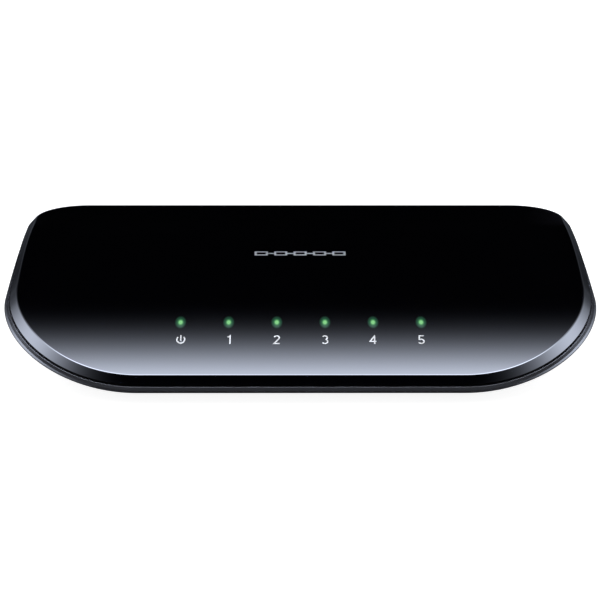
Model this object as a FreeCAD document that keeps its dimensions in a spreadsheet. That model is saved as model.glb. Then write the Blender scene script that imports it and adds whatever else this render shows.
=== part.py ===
"""Desktop network switch with five ports, a curved glossy cover and a hull-shaped lower case.

Frame: X is the width, -Y the front with the lights, +Y the rear with the ports and +Z up.
The origin is the middle of the footprint, on the surface that the rubber feet stand on.
"""

import FreeCAD
import Part
import Sketcher
import math
import os
import re

Vector = FreeCAD.Vector

# Driving dimensions by name: millimetres, apart from the ratios and counts, which have no unit.
DIMENSIONS = {
    # whole case, and the outline of the glossy plate inside the rim
    "case_width": 165.0, "case_depth": 108.0, "case_height": 28.0,
    "rim_step": 3.0, "front_corner": 35.7, "rear_corner": 14.8, "rim_rear_corner": 17.8,
    "bend_run": 80.2, "bend_drop": 20.0,
    # cover: rounded edge, bevel band round it and the shell's thickness
    "round_in": 0.27, "round_mid_in": 0.03, "round_mid_down": 0.055,
    "round_out": 0.2, "round_down": 0.215, "bevel_out": 2.0, "bevel_down": 2.15,
    "cover_thick": 2.0, "skirt_in": 0.4, "deck_in": 1.2,
    # rim of the lower case, below the shadow gap
    "rim_top_down": 2.6, "rim_top_out": 1.5, "rim_upper_down": 2.95, "rim_upper_out": 2.55,
    "rim_wide_down": 3.6, "rim_lower_down": 4.1, "rim_lower_out": 2.9,
    "rim_base_down": 4.3, "rim_base_out": 2.5, "tongue_out": 1.5, "tongue_in": 3.0,
    "tongue_gap": 0.02, "inner_down": 3.9,
    # hull of the lower case
    "hull_out": 0.5, "hull_down": 4.45, "rear_wall": 51.0, "rear_wall_thick": 3.0,
    "base_half": 72.0, "base_front": 44.5, "base_front_corner": 31.5, "base_rear_corner": 14.0,
    "base_chamfer": 0.8, "floor_thick": 1.8, "floor_in": 1.5, "floor_front_in": 2.0,
    # how far tools run past the faces that they open, and posts run into the floor
    "cut_over": 1.0, "window_over": 2.0, "post_root": 0.5,
    # feet, label and openings in the base
    "foot_height": 2.0, "foot_radius": 5.0, "foot_recess": 0.4, "foot_edge": 0.5,
    "foot_rear_x": 54.0, "foot_rear_y": 42.0, "foot_front_x": 50.0, "foot_front_y": 26.0,
    "key_x": 46.0, "key_y": 4.0, "key_radius": 3.5, "key_slot_radius": 1.9, "key_travel": 8.0,
    "vent_width": 2.0, "vent_length": 16.0, "vent_pitch": 6.0, "vent_count": 11.0,
    "vent_rear_y": 34.0, "vent_front_y": 30.0,
    "label_width": 60.0, "label_depth": 30.0, "label_y": 2.0, "label_recess": 0.3, "label_thick": 0.2,
    "label_margin": 0.5,
    # screws that hold the two case halves together
    "boss_x": 64.0, "boss_rear_y": 36.0, "boss_front_y": 12.0, "boss_seat": 12.0, "boss_radius": 3.0,
    "post_radius": 4.4, "recess_radius": 3.2, "recess_top": 8.0, "clear_radius": 1.7,
    "pilot_radius": 1.3, "pilot_depth": 6.0, "case_screw_radius": 1.25, "case_screw_reach": 9.0,
    "case_head_radius": 2.8, "case_head_height": 1.9,
    "head_top_ratio": 0.75, "head_edge_ratio": 0.6, "screw_taper_ratio": 0.9, "screw_point_ratio": 0.5,
    # circuit board and its screws
    "board_half": 58.0, "board_front": 38.0, "board_rear": 47.5, "board_corner": 16.0,
    "board_low": 7.0, "board_thick": 1.6, "board_hole": 1.6, "standoff_radius": 3.2, "standoff_pilot": 1.1,
    "board_screw_x": 50.0, "board_screw_rear_y": 28.0, "board_screw_front_y": 24.0, "pilot_clear": 0.2,
    "board_screw_radius": 1.05, "board_screw_reach": 4.0, "board_head_radius": 2.6,
    "board_head_height": 1.5,
    # ganged port block and its sprung contacts
    "port_x": 6.0, "port_pitch": 13.97, "port_margin": 0.6,
    "port_block_depth": 17.0, "port_block_height": 12.4,
    "port_width": 11.9, "port_height": 6.9, "port_depth": 13.5, "port_sill": 1.6,
    "latch_width": 6.3, "latch_height": 1.6, "key_width": 3.3, "key_height": 1.3,
    "comb_width": 8.6, "comb_depth": 0.9, "comb_near": 0.9, "comb_length": 11.5, "window_gap": 0.25,
    "wire_pitch": 1.02, "wire_width": 0.46, "wire_thick": 0.35, "wire_count": 8.0,
    "pivot_in": 1.8, "pivot_down": 0.45, "pivot_radius": 0.25, "finger_run": 7.5, "finger_rise": 2.55,
    "tip_length": 0.9, "tip_drop": 0.35, "tip_flat": 0.8,
    "lead_near": 0.9, "lead_far": 14.2, "lead_pin_reach": 1.6,
    # power inlet
    "jack_x": -46.0, "jack_width": 9.0, "jack_depth": 14.2, "jack_height": 11.0, "jack_axis_up": 6.5,
    "jack_bore": 3.1, "jack_bore_depth": 11.0, "jack_pin_radius": 1.0, "jack_pin_tip_in": 1.5,
    "jack_root_radius": 1.5, "jack_root_length": 2.5,
    "jack_slot_width": 3.0, "jack_slot_depth": 2.2, "jack_slot_length": 9.5,
    "leaf_width": 2.4, "leaf_thick": 0.3, "leaf_length": 7.0, "leaf_rise": 1.6, "leaf_pivot_in": 10.0,
    "leaf_pivot_down": 3.75, "leaf_pivot_radius": 0.25,
    "leaf_crest_from": 0.45, "leaf_crest_to": 0.6, "leaf_tip_ratio": 0.25,
    "terminal_width": 2.2, "terminal_thick": 0.4, "terminal_pin_y": 1.0, "terminal_leaf_y": 7.0,
    "terminal_side_x": 3.0, "terminal_side_y": 4.0,
    # lights: oval windows, longer from front to rear, because the surface slopes away from the user
    "light_x": 0.0, "light_pitch": 13.2, "light_y": -32.0, "light_hole": 1.27, "light_hole_long": 2.05,
    "guide_radius": 1.24, "guide_radius_long": 2.02, "guide_clear": 0.2, "guide_inset": 0.02,
    "guide_collar": 2.6, "guide_collar_height": 1.0, "guide_collar_drop": 1.3, "trim_half": 4.0,
    "led_length": 2.0, "led_width": 1.25, "led_height": 0.8,
    # parts on the board
    "chip_x": 2.0, "chip_y": -6.0, "chip_size": 14.0, "chip_height": 1.2, "chip_lead": 1.0,
    "chip_lead_ratio": 0.86, "chip_lead_thick": 0.25, "pad_thick": 0.3,
    "sink_size": 20.0, "sink_base": 1.5, "sink_height": 6.5, "sink_fin": 1.2, "sink_fins": 7.0,
    "magnet_width": 10.4, "magnet_depth": 12.0, "magnet_height": 5.4, "magnet_y": 25.5,
    "crystal_x": 24.0, "crystal_y": -10.0, "crystal_length": 11.2, "crystal_width": 4.6,
    "crystal_height": 3.5, "crystal_round": 2.2,
    "coil_x": -36.0, "coil_y": 8.0, "coil_size": 8.0, "coil_height": 4.2,
    "regulator_x": -38.0, "regulator_y": -8.0, "regulator_length": 6.5, "regulator_width": 6.0,
    "regulator_height": 1.8, "memory_x": -14.0, "memory_y": -16.0, "memory_length": 5.0,
    "memory_width": 6.0, "memory_height": 1.6,
    "large_can_radius": 4.0, "large_can_height": 8.5, "small_can_radius": 3.15, "small_can_height": 7.2,
    "input_can_x": -50.0, "input_can_y": 10.0, "output_can_x": -38.0, "output_can_y": 20.0,
    "core_can_x": -26.0, "core_can_y": 2.0, "can_gap": 0.9, "can_groove": 0.3, "can_groove_low": 0.9,
    "can_groove_half": 0.4, "can_round": 0.4, "can_base_margin": 0.15,
    "small_length": 1.6, "small_width": 0.8, "small_height": 0.5, "small_pitch": 4.2,
    "resistor_count": 17.0, "resistor_x": -1.4, "resistor_y": -27.0,
    "condenser_count": 16.0, "condenser_x": 8.1, "condenser_y": 15.5,
}

# Numbers of straight steps that the spline edges of the shells are fitted through.
SIDE_STEPS = 12
CORNER_STEPS = 16

# Formulas for the arc along which the top falls towards the front.
BEND_START = "(bend_run + rim_step - case_depth / 2)"
BEND_RADIUS = "((bend_run^2 + bend_drop^2) / (2 * bend_drop))"

doc = FreeCAD.newDocument("network_switch")
sheet = doc.addObject("Spreadsheet::Sheet", "Dims")
NODES = []


def fill_sheet():
    """Write every driving dimension into the sheet under its name."""
    for row, (name, value) in enumerate(DIMENSIONS.items(), start=1):
        sheet.set("A%d" % row, name)
        sheet.set("B%d" % row, repr(value))
        sheet.setAlias("B%d" % row, name)
    doc.recompute()


def bind(text):
    """Turn a formula in dimension names into one that reads the sheet's cells."""
    def cell(match):
        word = match.group(0)
        return "Dims." + word if word in DIMENSIONS else word
    return re.sub(r"[a-z_][a-z_0-9]*", cell, str(text))


def value_of(text):
    """Current value of a formula, in millimetres."""
    return float(sheet.evalExpression(bind(text)))


def node(thing, name):
    """Mark an object as one piece of the product, under the name of its node."""
    thing.Label = name
    NODES.append(thing)
    return thing


def place(thing, x="0", y="0", z="0"):
    """Bind an object's position to formulas."""
    for axis, text in zip("xyz", (x, y, z)):
        thing.setExpression("Placement.Base." + axis, bind(text))
    return thing


def block(name, size, centre, base):
    """Box of a size (x, y, z), centred in plan on a point, standing on a height."""
    box = doc.addObject("Part::Box", name)
    for prop, text in zip(("Length", "Width", "Height"), size):
        box.setExpression(prop, bind(text))
    corner = ["(%s) - (%s) / 2" % pair for pair in zip(centre, size)]
    return place(box, corner[0], corner[1], base)


def column(name, radius, height, centre, base):
    """Upright cylinder."""
    round_bar = doc.addObject("Part::Cylinder", name)
    round_bar.setExpression("Radius", bind(radius))
    round_bar.setExpression("Height", bind(height))
    return place(round_bar, centre[0], centre[1], base)


def oval_column(name, half_x, half_y, height, centre, base):
    """Upright column of oval section, longer along Y than along X."""
    ring = doc.addObject("Part::Ellipse", name + "_ring")
    ring.setExpression("MajorRadius", bind(half_y))
    ring.setExpression("MinorRadius", bind(half_x))
    ring.Placement = FreeCAD.Placement(Vector(), FreeCAD.Rotation(Vector(0, 0, 1), 90))
    place(ring, centre[0], centre[1], base)
    bar = doc.addObject("Part::Extrusion", name)
    bar.Base = ring
    bar.Dir = Vector(0, 0, 1)
    bar.DirMode = "Custom"
    bar.Solid = True
    bar.setExpression("LengthFwd", bind(height))
    return bar


def rod(name, radius, length, x, start_y, z):
    """Cylinder that runs rearwards along +Y from start_y."""
    round_bar = doc.addObject("Part::Cylinder", name)
    round_bar.setExpression("Radius", bind(radius))
    round_bar.setExpression("Height", bind(length))
    round_bar.Placement = FreeCAD.Placement(Vector(), FreeCAD.Rotation(Vector(1, 0, 0), -90))
    return place(round_bar, x, start_y, z)


def group(name, members):
    """Several separate solids held as one object."""
    compound = doc.addObject("Part::Compound", name)
    compound.Links = members
    return compound


def joined(name, members):
    """Several solids fused into one."""
    fusion = doc.addObject("Part::MultiFuse", name)
    fusion.Shapes = members
    fusion.Refine = False
    return fusion


def cut(name, base, tools):
    """A base with every tool taken out of it."""
    result = doc.addObject("Part::Cut", name)
    result.Base = base
    result.Tool = tools[0] if len(tools) == 1 else group(name + "_tools", tools)
    result.Refine = False
    return result


# ---------------------------------------------------------------- sketched bodies

def origin_plane(body, role):
    """One of a body's own origin planes or axes."""
    return next(part for part in body.Origin.OriginFeatures if part.Role == role)


def polygon(body, name, role, points):
    """Closed sketch on an origin plane, with both coordinates of every corner driven by a formula."""
    sketch = body.newObject("Sketcher::SketchObject", name)
    sketch.AttachmentSupport = (origin_plane(body, role), [""])
    sketch.MapMode = "FlatFace"
    corners = [Vector(value_of(x), value_of(y), 0) for x, y in points]
    for number, corner in enumerate(corners):
        following = corners[(number + 1) % len(corners)]
        sketch.addGeometry(Part.LineSegment(corner, following), False)
    for number in range(len(corners)):
        following = (number + 1) % len(corners)
        sketch.addConstraint(Sketcher.Constraint("Coincident", number, 2, following, 1))
    for number, (corner, formulas) in enumerate(zip(corners, points)):
        drives = (("DistanceX", corner.x, formulas[0]), ("DistanceY", corner.y, formulas[1]))
        for kind, now, formula in drives:
            index = sketch.addConstraint(Sketcher.Constraint(kind, -1, 1, number, 1, now))
            sketch.setExpression("Constraints[%d]" % index, bind(formula))
    return sketch


def circles(body, name, role, radius, centres):
    """Sketch of equal circles on an origin plane, with radius and centres driven by formulas."""
    sketch = body.newObject("Sketcher::SketchObject", name)
    sketch.AttachmentSupport = (origin_plane(body, role), [""])
    sketch.MapMode = "FlatFace"
    for number, (x, y) in enumerate(centres):
        centre = Vector(value_of(x), value_of(y), 0)
        sketch.addGeometry(Part.Circle(centre, Vector(0, 0, 1), value_of(radius)), False)
        size = sketch.addConstraint(Sketcher.Constraint("Radius", number, value_of(radius)))
        sketch.setExpression("Constraints[%d]" % size, bind(radius))
        for kind, now, formula in (("DistanceX", centre.x, x), ("DistanceY", centre.y, y)):
            index = sketch.addConstraint(Sketcher.Constraint(kind, -1, 1, number, 3, now))
            sketch.setExpression("Constraints[%d]" % index, bind(formula))
    return sketch


def pad(body, name, sketch, length, both_ways=False):
    """Pad of a sketch, upwards or evenly to both sides."""
    feature = body.newObject("PartDesign::Pad", name)
    feature.Profile = sketch
    feature.Midplane = both_ways
    feature.setExpression("Length", bind(length))
    doc.recompute()
    return feature


def turned(name, outline):
    """Body of revolution about Z, from its half section in (radius, height)."""
    body = doc.addObject("PartDesign::Body", name)
    sketch = polygon(body, name + "_section", "XZ_Plane", outline)
    feature = body.newObject("PartDesign::Revolution", name + "_turn")
    feature.Profile = sketch
    feature.ReferenceAxis = (sketch, ["V_Axis"])
    feature.Angle = 360
    doc.recompute()
    return body


def repeated(body, name, feature, role, count, length):
    """Row of equal copies of a feature along an origin axis."""
    pattern = body.newObject("PartDesign::LinearPattern", name)
    pattern.Originals = [feature]
    pattern.Direction = (origin_plane(body, role), [""])
    pattern.setExpression("Length", bind(length))
    pattern.setExpression("Occurrences", bind(count))
    body.Tip = pattern
    doc.recompute()
    return pattern


# ---------------------------------------------------------------- curved shells

def surface_height(y):
    """Height of the cover's top over a place y: level at the rear, then an arc down to the front."""
    height = value_of("case_height")
    radius = value_of(BEND_RADIUS)
    past_bend = value_of(BEND_START) - y
    if past_bend <= 0:
        return height
    return height - radius + math.sqrt(radius ** 2 - past_bend ** 2)


def surface_formula(y):
    """The same height as surface_height, as a formula, for a place that lies in front of the bend."""
    return "case_height - %s + sqrt(%s^2 - (%s - (%s))^2)" % (BEND_RADIUS, BEND_RADIUS, BEND_START, y)


def below_edge(name):
    """Height rule: a drop below the plate's edge beside the point."""
    drop = value_of(name)
    return lambda y, edge_y: surface_height(edge_y) - drop


def below_surface(name):
    """Height rule: a drop below the top surface at the point itself."""
    drop = value_of(name)
    return lambda y, edge_y: surface_height(y) - drop


def level(name):
    """Height rule: one level all round."""
    height = value_of(name)
    return lambda y, edge_y: height


def smooth_edge(points):
    """Spline edge through points at even parameters."""
    spline = Part.BSplineCurve()
    spline.interpolate(Points=points, Parameters=[k / (len(points) - 1) for k in range(len(points))])
    return spline.toShape()


def outline_loop(half, front, rear, front_radius, rear_radius, height_at):
    """Edges once round a rounded oblong, at the heights that a rule gives.

    Each side has four: the rear corner, the level side, the falling side and the front corner.
    """
    corner_y = front + front_radius
    plate_radius = value_of("front_corner")
    bend_y = value_of(BEND_START)

    def point(x, y, edge_y=None):
        return Vector(x, y, height_at(y, y if edge_y is None else edge_y))

    def side(sign):
        middle = math.sqrt(0.5)
        centre_x = half - rear_radius
        centre_y = rear - rear_radius
        rear_corner = Part.Arc(
            point(sign * centre_x, rear),
            point(sign * (centre_x + rear_radius * middle), centre_y + rear_radius * middle),
            point(sign * half, centre_y),
        ).toShape()
        straight = Part.LineSegment(point(sign * half, centre_y), point(sign * half, bend_y)).toShape()
        falling = [
            point(sign * half, bend_y + (corner_y - bend_y) * k / SIDE_STEPS) for k in range(SIDE_STEPS + 1)
        ]
        turning = []
        for k in range(CORNER_STEPS + 1):
            angle = math.pi / 2 * k / CORNER_STEPS
            x = half - front_radius + front_radius * math.cos(angle)
            y = corner_y - front_radius * math.sin(angle)
            turning.append(point(sign * x, y, corner_y - plate_radius * math.sin(angle)))
        return [rear_corner, straight, smooth_edge(falling), smooth_edge(turning)]

    rear_x = half - rear_radius
    front_x = half - front_radius
    edge_y = corner_y - plate_radius
    rear_edge = Part.LineSegment(point(-rear_x, rear), point(rear_x, rear)).toShape()
    front_edge = Part.LineSegment(point(-front_x, front, edge_y), point(front_x, front, edge_y)).toShape()
    return {"right": side(1), "left": side(-1), "ends": [rear_edge, front_edge]}


def plate_loop(offset, height_at, rear_corner="rear_corner"):
    """Outline of the glossy plate, moved outwards by an offset."""
    half = value_of("case_width / 2 - rim_step") + offset
    reach = value_of("case_depth / 2 - rim_step") + offset
    front_radius = value_of("front_corner") + offset
    rear_radius = value_of(rear_corner) + offset
    return outline_loop(half, -reach, reach, front_radius, rear_radius, height_at)


def rim_loop(offset_name, drop_name):
    """Loop of the rim: as the plate's outline, but with wider rear corners."""
    return plate_loop(value_of(offset_name), below_edge(drop_name), "rim_rear_corner - rim_step")


def ring_faces(first, second):
    """Ruled faces between two loops."""
    return [
        Part.makeRuledSurface(a, b)
        for key in ("right", "left", "ends")
        for a, b in zip(first[key], second[key])
    ]


def deck_faces(loop):
    """Faces ruled across a loop from side to side."""
    return [Part.makeRuledSurface(a, b) for a, b in zip(loop["right"], loop["left"])]


def shell_solid(name, loops):
    """Closed solid from loops in order, with a deck across the first one and the last one."""
    faces = deck_faces(loops[0]) + deck_faces(loops[-1])
    for first, second in zip(loops, loops[1:]):
        faces += ring_faces(first, second)
    feature = doc.addObject("Part::Feature", name)
    feature.Shape = Part.makeSolid(Part.makeShell(faces))
    feature.Placement = FreeCAD.Placement()
    return feature


def cover_shell():
    """Glossy plate with its rounded edge, bevel band and short inner skirt."""
    return shell_solid("cover_shell", [
        plate_loop(-value_of("round_in"), below_surface("0")),
        plate_loop(-value_of("round_mid_in"), below_edge("round_mid_down")),
        plate_loop(value_of("round_out"), below_edge("round_down")),
        plate_loop(value_of("bevel_out"), below_edge("bevel_down")),
        plate_loop(-value_of("skirt_in"), below_edge("bevel_down")),
        plate_loop(-value_of("deck_in"), below_surface("cover_thick")),
    ])


def case_shell():
    """Lower case: floor, walls, tongue under the cover, bulging rim and tapered hull."""
    floor_half = value_of("base_half - floor_in")
    floor_front = -value_of("base_front - floor_front_in")
    wall_inside = value_of("rear_wall - rear_wall_thick")
    chamfer = value_of("base_chamfer")
    base_half = value_of("base_half")
    base_front = -value_of("base_front")
    rear_wall = value_of("rear_wall")
    front_corner = value_of("base_front_corner")
    rear_corner = value_of("base_rear_corner")
    hull_out = value_of("hull_out")
    plate_half = value_of("case_width / 2 - rim_step")
    plate_reach = value_of("case_depth / 2 - rim_step")
    return shell_solid("case_shell", [
        outline_loop(floor_half, floor_front, wall_inside, front_corner - value_of("floor_in"),
                     rear_corner - value_of("floor_in"), level("foot_height + floor_thick")),
        plate_loop(-value_of("tongue_in"), below_edge("inner_down")),
        plate_loop(-value_of("tongue_in"), below_surface("cover_thick + tongue_gap")),
        plate_loop(-value_of("tongue_out"), below_surface("cover_thick + tongue_gap")),
        plate_loop(-value_of("tongue_out"), below_edge("rim_top_down")),
        rim_loop("rim_top_out", "rim_top_down"),
        rim_loop("rim_upper_out", "rim_upper_down"),
        rim_loop("rim_step", "rim_wide_down"),
        rim_loop("rim_lower_out", "rim_lower_down"),
        rim_loop("rim_base_out", "rim_base_down"),
        outline_loop(plate_half + hull_out, -plate_reach - hull_out, rear_wall,
                     value_of("front_corner") + hull_out, value_of("rim_rear_corner - rim_step") + hull_out,
                     below_edge("hull_down")),
        outline_loop(base_half + chamfer, base_front - chamfer, rear_wall, front_corner + chamfer,
                     rear_corner + chamfer, level("foot_height + base_chamfer")),
        outline_loop(base_half, base_front, rear_wall - chamfer, front_corner, rear_corner,
                     level("foot_height")),
    ])


# ---------------------------------------------------------------- places that several pieces share

BOARD_TOP = "board_low + board_thick"
FLOOR_TOP = "foot_height + floor_thick"
PORTS = range(1, 6)
MIDDLE_PORT = 3
PORT_SPAN = "(%d * port_pitch + 2 * port_margin)" % len(PORTS)
LIGHTS = ["power", "1", "2", "3", "4", "5"]
CASE_SCREWS = [
    (side + "boss_x", y) for side in ("", "-") for y in ("boss_rear_y", "-boss_front_y")
]
BOARD_SCREWS = [
    (side + "board_screw_x", y)
    for side in ("", "-")
    for y in ("board_screw_rear_y", "-board_screw_front_y")
]
FEET = {
    "front_left": ("-foot_front_x", "-foot_front_y"),
    "front_right": ("foot_front_x", "-foot_front_y"),
    "rear_left": ("-foot_rear_x", "foot_rear_y"),
    "rear_right": ("foot_rear_x", "foot_rear_y"),
}
KEYHOLES = [("-key_x", "key_y"), ("key_x", "key_y")]


def port_centre(number):
    """Place x of a port: number 1 is at the +X end of the block."""
    return "port_x + %d * port_pitch" % (MIDDLE_PORT - number)


def light_centre(index):
    """Place x of a light, counted from the power light at the -X end."""
    return "light_x + (%d - %.1f) * light_pitch" % (index, (len(LIGHTS) - 1) / 2)


# ---------------------------------------------------------------- case

def build_cover():
    """Cover with its light holes and four screw bosses."""
    bosses = []
    pilots = []
    for number, (x, y) in enumerate(CASE_SCREWS):
        top = "case_height" if not y.startswith("-") else surface_formula(y)
        height = "%s - cover_thick / 2 - boss_seat" % top
        bosses.append(column("cover_boss_%d" % number, "boss_radius", height, (x, y), "boss_seat"))
        pilots.append(column("cover_pilot_%d" % number, "pilot_radius", "pilot_depth + cut_over", (x, y),
                             "boss_seat - cut_over"))
    holes = [
        oval_column("cover_light_hole_%d" % index, "light_hole", "light_hole_long", "case_height",
                    (light_centre(index), "light_y"), BOARD_TOP)
        for index in range(len(LIGHTS))
    ]
    body = joined("cover_with_bosses", [cover_shell()] + bosses)
    node(cut("top_cover_shape", body, pilots + holes), "top_cover")


def rear_windows():
    """Tools that open the rear wall for the port block and the power inlet."""
    depth = "rear_wall_thick + 2 * window_over"
    middle = "rear_wall - rear_wall_thick / 2"
    windows = []
    for name, x, width, height in (
            ("port_window", "port_x", PORT_SPAN, "port_block_height"),
            ("inlet_window", "jack_x", "jack_width", "jack_height")):
        size = (width + " + 2 * window_gap", depth, height + " + 2 * window_gap")
        windows.append(block(name, size, (x, middle), BOARD_TOP + " - window_gap"))
    return windows


def keyhole_tools():
    """Tools for the two wall-mounting keyholes: round entry and narrow slot."""
    through = "floor_thick + 2 * cut_over"
    start = "foot_height - cut_over"
    tools = []
    for number, (x, y) in enumerate(KEYHOLES):
        tools.append(column("key_entry_%d" % number, "key_radius", through, (x, y), start))
        end = (x, y + " + key_travel")
        tools.append(column("key_end_%d" % number, "key_slot_radius", through, end, start))
        tools.append(block("key_slot_%d" % number, ("2 * key_slot_radius", "key_travel", through),
                           (x, y + " + key_travel / 2"), start))
    return tools


def vent_tools():
    """Two rows of cooling slots through the base."""
    tools = []
    for row, y in (("rear", "vent_rear_y"), ("front", "-vent_front_y")):
        for step in range(int(value_of("vent_count"))):
            size = ("vent_width", "vent_length", "floor_thick + 2 * cut_over")
            x = "(%d - (vent_count - 1) / 2) * vent_pitch" % step
            tools.append(block("vent_%s_%d" % (row, step), size, (x, y), "foot_height - cut_over"))
    return tools


def case_screw_tools():
    """Tools for the screws of the case: a recess for each head, and a clearance hole above it."""
    tools = []
    for number, place_xy in enumerate(CASE_SCREWS):
        recess = "recess_top - foot_height + cut_over"
        clearance = "boss_seat - recess_top + 2 * cut_over"
        tools.append(column("screw_recess_%d" % number, "recess_radius", recess, place_xy,
                            "foot_height - cut_over"))
        tools.append(column("screw_clear_%d" % number, "clear_radius", clearance, place_xy,
                            "recess_top - cut_over"))
    return tools


def base_tools():
    """Tools for the pilot holes, the seats of the feet and the recess of the label."""
    tools = []
    for number, place_xy in enumerate(BOARD_SCREWS):
        tools.append(column("standoff_pilot_%d" % number, "standoff_pilot",
                            "board_screw_reach + pilot_clear + cut_over", place_xy,
                            BOARD_TOP + " - board_screw_reach - pilot_clear"))
    for name, place_xy in FEET.items():
        tools.append(column("foot_seat_" + name, "foot_radius", "foot_recess + cut_over", place_xy,
                            "foot_height - cut_over"))
    tools.append(block("label_seat", ("label_width", "label_depth", "label_recess + cut_over"),
                       ("0", "label_y"), "foot_height - cut_over"))
    return tools


def build_lower_case():
    """Lower case with screw posts, board standoffs, openings and recesses."""
    posts = [
        column("case_post_%d" % number, "post_radius", "boss_seat - foot_height - post_root", place_xy,
               "foot_height + post_root")
        for number, place_xy in enumerate(CASE_SCREWS)
    ]
    standoffs = [
        column("standoff_%d" % number, "standoff_radius", "board_low - foot_height - post_root", place_xy,
               "foot_height + post_root")
        for number, place_xy in enumerate(BOARD_SCREWS)
    ]
    tools = rear_windows() + keyhole_tools() + vent_tools() + case_screw_tools() + base_tools()
    body = joined("case_with_posts", [case_shell()] + posts + standoffs)
    node(cut("bottom_case_shape", body, tools), "bottom_case")


def build_feet():
    """Round rubber feet with a softened edge, sunk into the base."""
    for name, (x, y) in FEET.items():
        outline = [
            ("0", "0"), ("foot_radius - foot_edge", "0"), ("foot_radius", "foot_edge"),
            ("foot_radius", "foot_height + foot_recess"), ("0", "foot_height + foot_recess"),
        ]
        node(place(turned("foot_" + name, outline), x, y), "rubber_foot_" + name)


def build_label():
    """Blank label in its recess under the base."""
    size = ("label_width - 2 * label_margin", "label_depth - 2 * label_margin", "label_thick")
    plate = block("label_plate", size, ("0", "label_y"), "foot_height + label_recess - label_thick")
    node(plate, "base_label")


def screw(name, head_radius, head_height, shank_radius, shank_length, points_up):
    """Pan-head screw whose head seat is at height zero."""
    way = "" if points_up else "-"
    back = "-" if points_up else ""
    return turned(name, [
        ("0", back + head_height), (head_radius + " * head_top_ratio", back + head_height),
        (head_radius, back + head_height + " * head_edge_ratio"), (head_radius, "0"), (shank_radius, "0"),
        (shank_radius, way + shank_length + " * screw_taper_ratio"),
        (shank_radius + " * screw_point_ratio", way + shank_length), ("0", way + shank_length),
    ])


def build_screws():
    """Four screws up into the cover's bosses and four down into the board's standoffs."""
    upper = [
        place(screw("case_screw_%d" % number, "case_head_radius", "case_head_height", "case_screw_radius",
                    "case_screw_reach", True), x, y, "recess_top")
        for number, (x, y) in enumerate(CASE_SCREWS)
    ]
    node(group("case_screw_set", upper), "case_screws")
    lower = [
        place(screw("board_screw_%d" % number, "board_head_radius", "board_head_height",
                    "board_screw_radius", "board_screw_reach", False), x, y, BOARD_TOP)
        for number, (x, y) in enumerate(BOARD_SCREWS)
    ]
    node(group("board_screw_set", lower), "board_screws")


# ---------------------------------------------------------------- ports

def contact_leads(number):
    """Fixed leads of one port: a front post, a run along the floor and a pin through the board."""
    body = doc.addObject("PartDesign::Body", "leads_%d" % number)
    top = "board_low + board_thick + port_sill - comb_depth"
    near = "rear_wall - lead_near"
    far = "rear_wall - lead_far"
    pivot_up = "board_low + board_thick + port_sill - pivot_down + wire_thick / 2"
    pin_end = "board_low - lead_pin_reach"
    outline = [
        (near, top + " - wire_thick"), (near, pivot_up), (near + " - wire_thick", pivot_up),
        (near + " - wire_thick", top), (far, top), (far, pin_end), (far + " + wire_thick", pin_end),
        (far + " + wire_thick", top + " - wire_thick"),
    ]
    sketch = polygon(body, "lead_shape_%d" % number, "YZ_Plane", outline)
    one = pad(body, "lead_%d" % number, sketch, "wire_width", both_ways=True)
    repeated(body, "lead_row_%d" % number, one, "X_Axis", "wire_count", "(wire_count - 1) * wire_pitch")
    return place(body, port_centre(number) + " - (wire_count - 1) * wire_pitch / 2")


def contact_fingers(number):
    """Eight sprung fingers of one port, as a row that swings about its roots."""
    body = doc.addObject("PartDesign::Body", "fingers_%d" % number)
    finger_length = "sqrt(finger_run^2 + finger_rise^2)"
    rise = "(wire_thick / 2 * finger_run / %s)" % finger_length
    lean = "(wire_thick / 2 * finger_rise / %s)" % finger_length
    tip_y = "-finger_run"
    tip_z = "finger_rise"
    outline = [
        (lean, rise), ("pivot_radius", "0"), ("-" + lean, "-" + rise),
        (tip_y + " - " + lean, tip_z + " - " + rise), (tip_y + " - tip_length", tip_z + " - tip_drop"),
        (tip_y + " - tip_flat", tip_z), (tip_y + " + " + lean, tip_z + " + " + rise),
    ]
    sketch = polygon(body, "finger_shape_%d" % number, "YZ_Plane", outline)
    one = pad(body, "finger_%d" % number, sketch, "wire_width", both_ways=True)
    repeated(body, "finger_row_%d" % number, one, "X_Axis", "wire_count", "(wire_count - 1) * wire_pitch")
    return place(body, port_centre(number) + " - (wire_count - 1) * wire_pitch / 2", "rear_wall - pivot_in",
                 "board_low + board_thick + port_sill - pivot_down")


def port_tools(number):
    """Tools for one port: the socket, its latch and key steps, and the comb below the contacts."""
    x = port_centre(number)
    sill = BOARD_TOP + " + port_sill"
    mouth = "rear_wall - (port_depth - cut_over) / 2"
    depth = "port_depth + cut_over"
    heights = ["port_height", "port_height + latch_height", "port_height + latch_height + key_height"]
    widths = ["port_width", "latch_width", "key_width"]
    steps = [
        block("socket_%d_%d" % (number, step), (width, depth, height), (x, mouth), sill)
        for step, (width, height) in enumerate(zip(widths, heights))
    ]
    comb = block("comb_%d" % number, ("comb_width", "comb_length", "comb_depth + cut_over"),
                 (x, "rear_wall - comb_near - comb_length / 2"), sill + " - comb_depth")
    return steps + [comb]


def build_ports():
    """Ganged port block, with the fixed leads and the moving fingers of each port."""
    leads = [node(contact_leads(number), "contact_leads_%d" % number) for number in PORTS]
    for number in PORTS:
        node(contact_fingers(number), "contact_fingers_%d" % number)
    solid = block("port_block_solid", (PORT_SPAN, "port_block_depth", "port_block_height"),
                  ("port_x", "rear_wall - port_block_depth / 2"), BOARD_TOP)
    tools = [tool for number in PORTS for tool in port_tools(number)]
    node(cut("port_block_shape", solid, tools + leads), "port_block")
    return leads


# ---------------------------------------------------------------- power inlet

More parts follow.
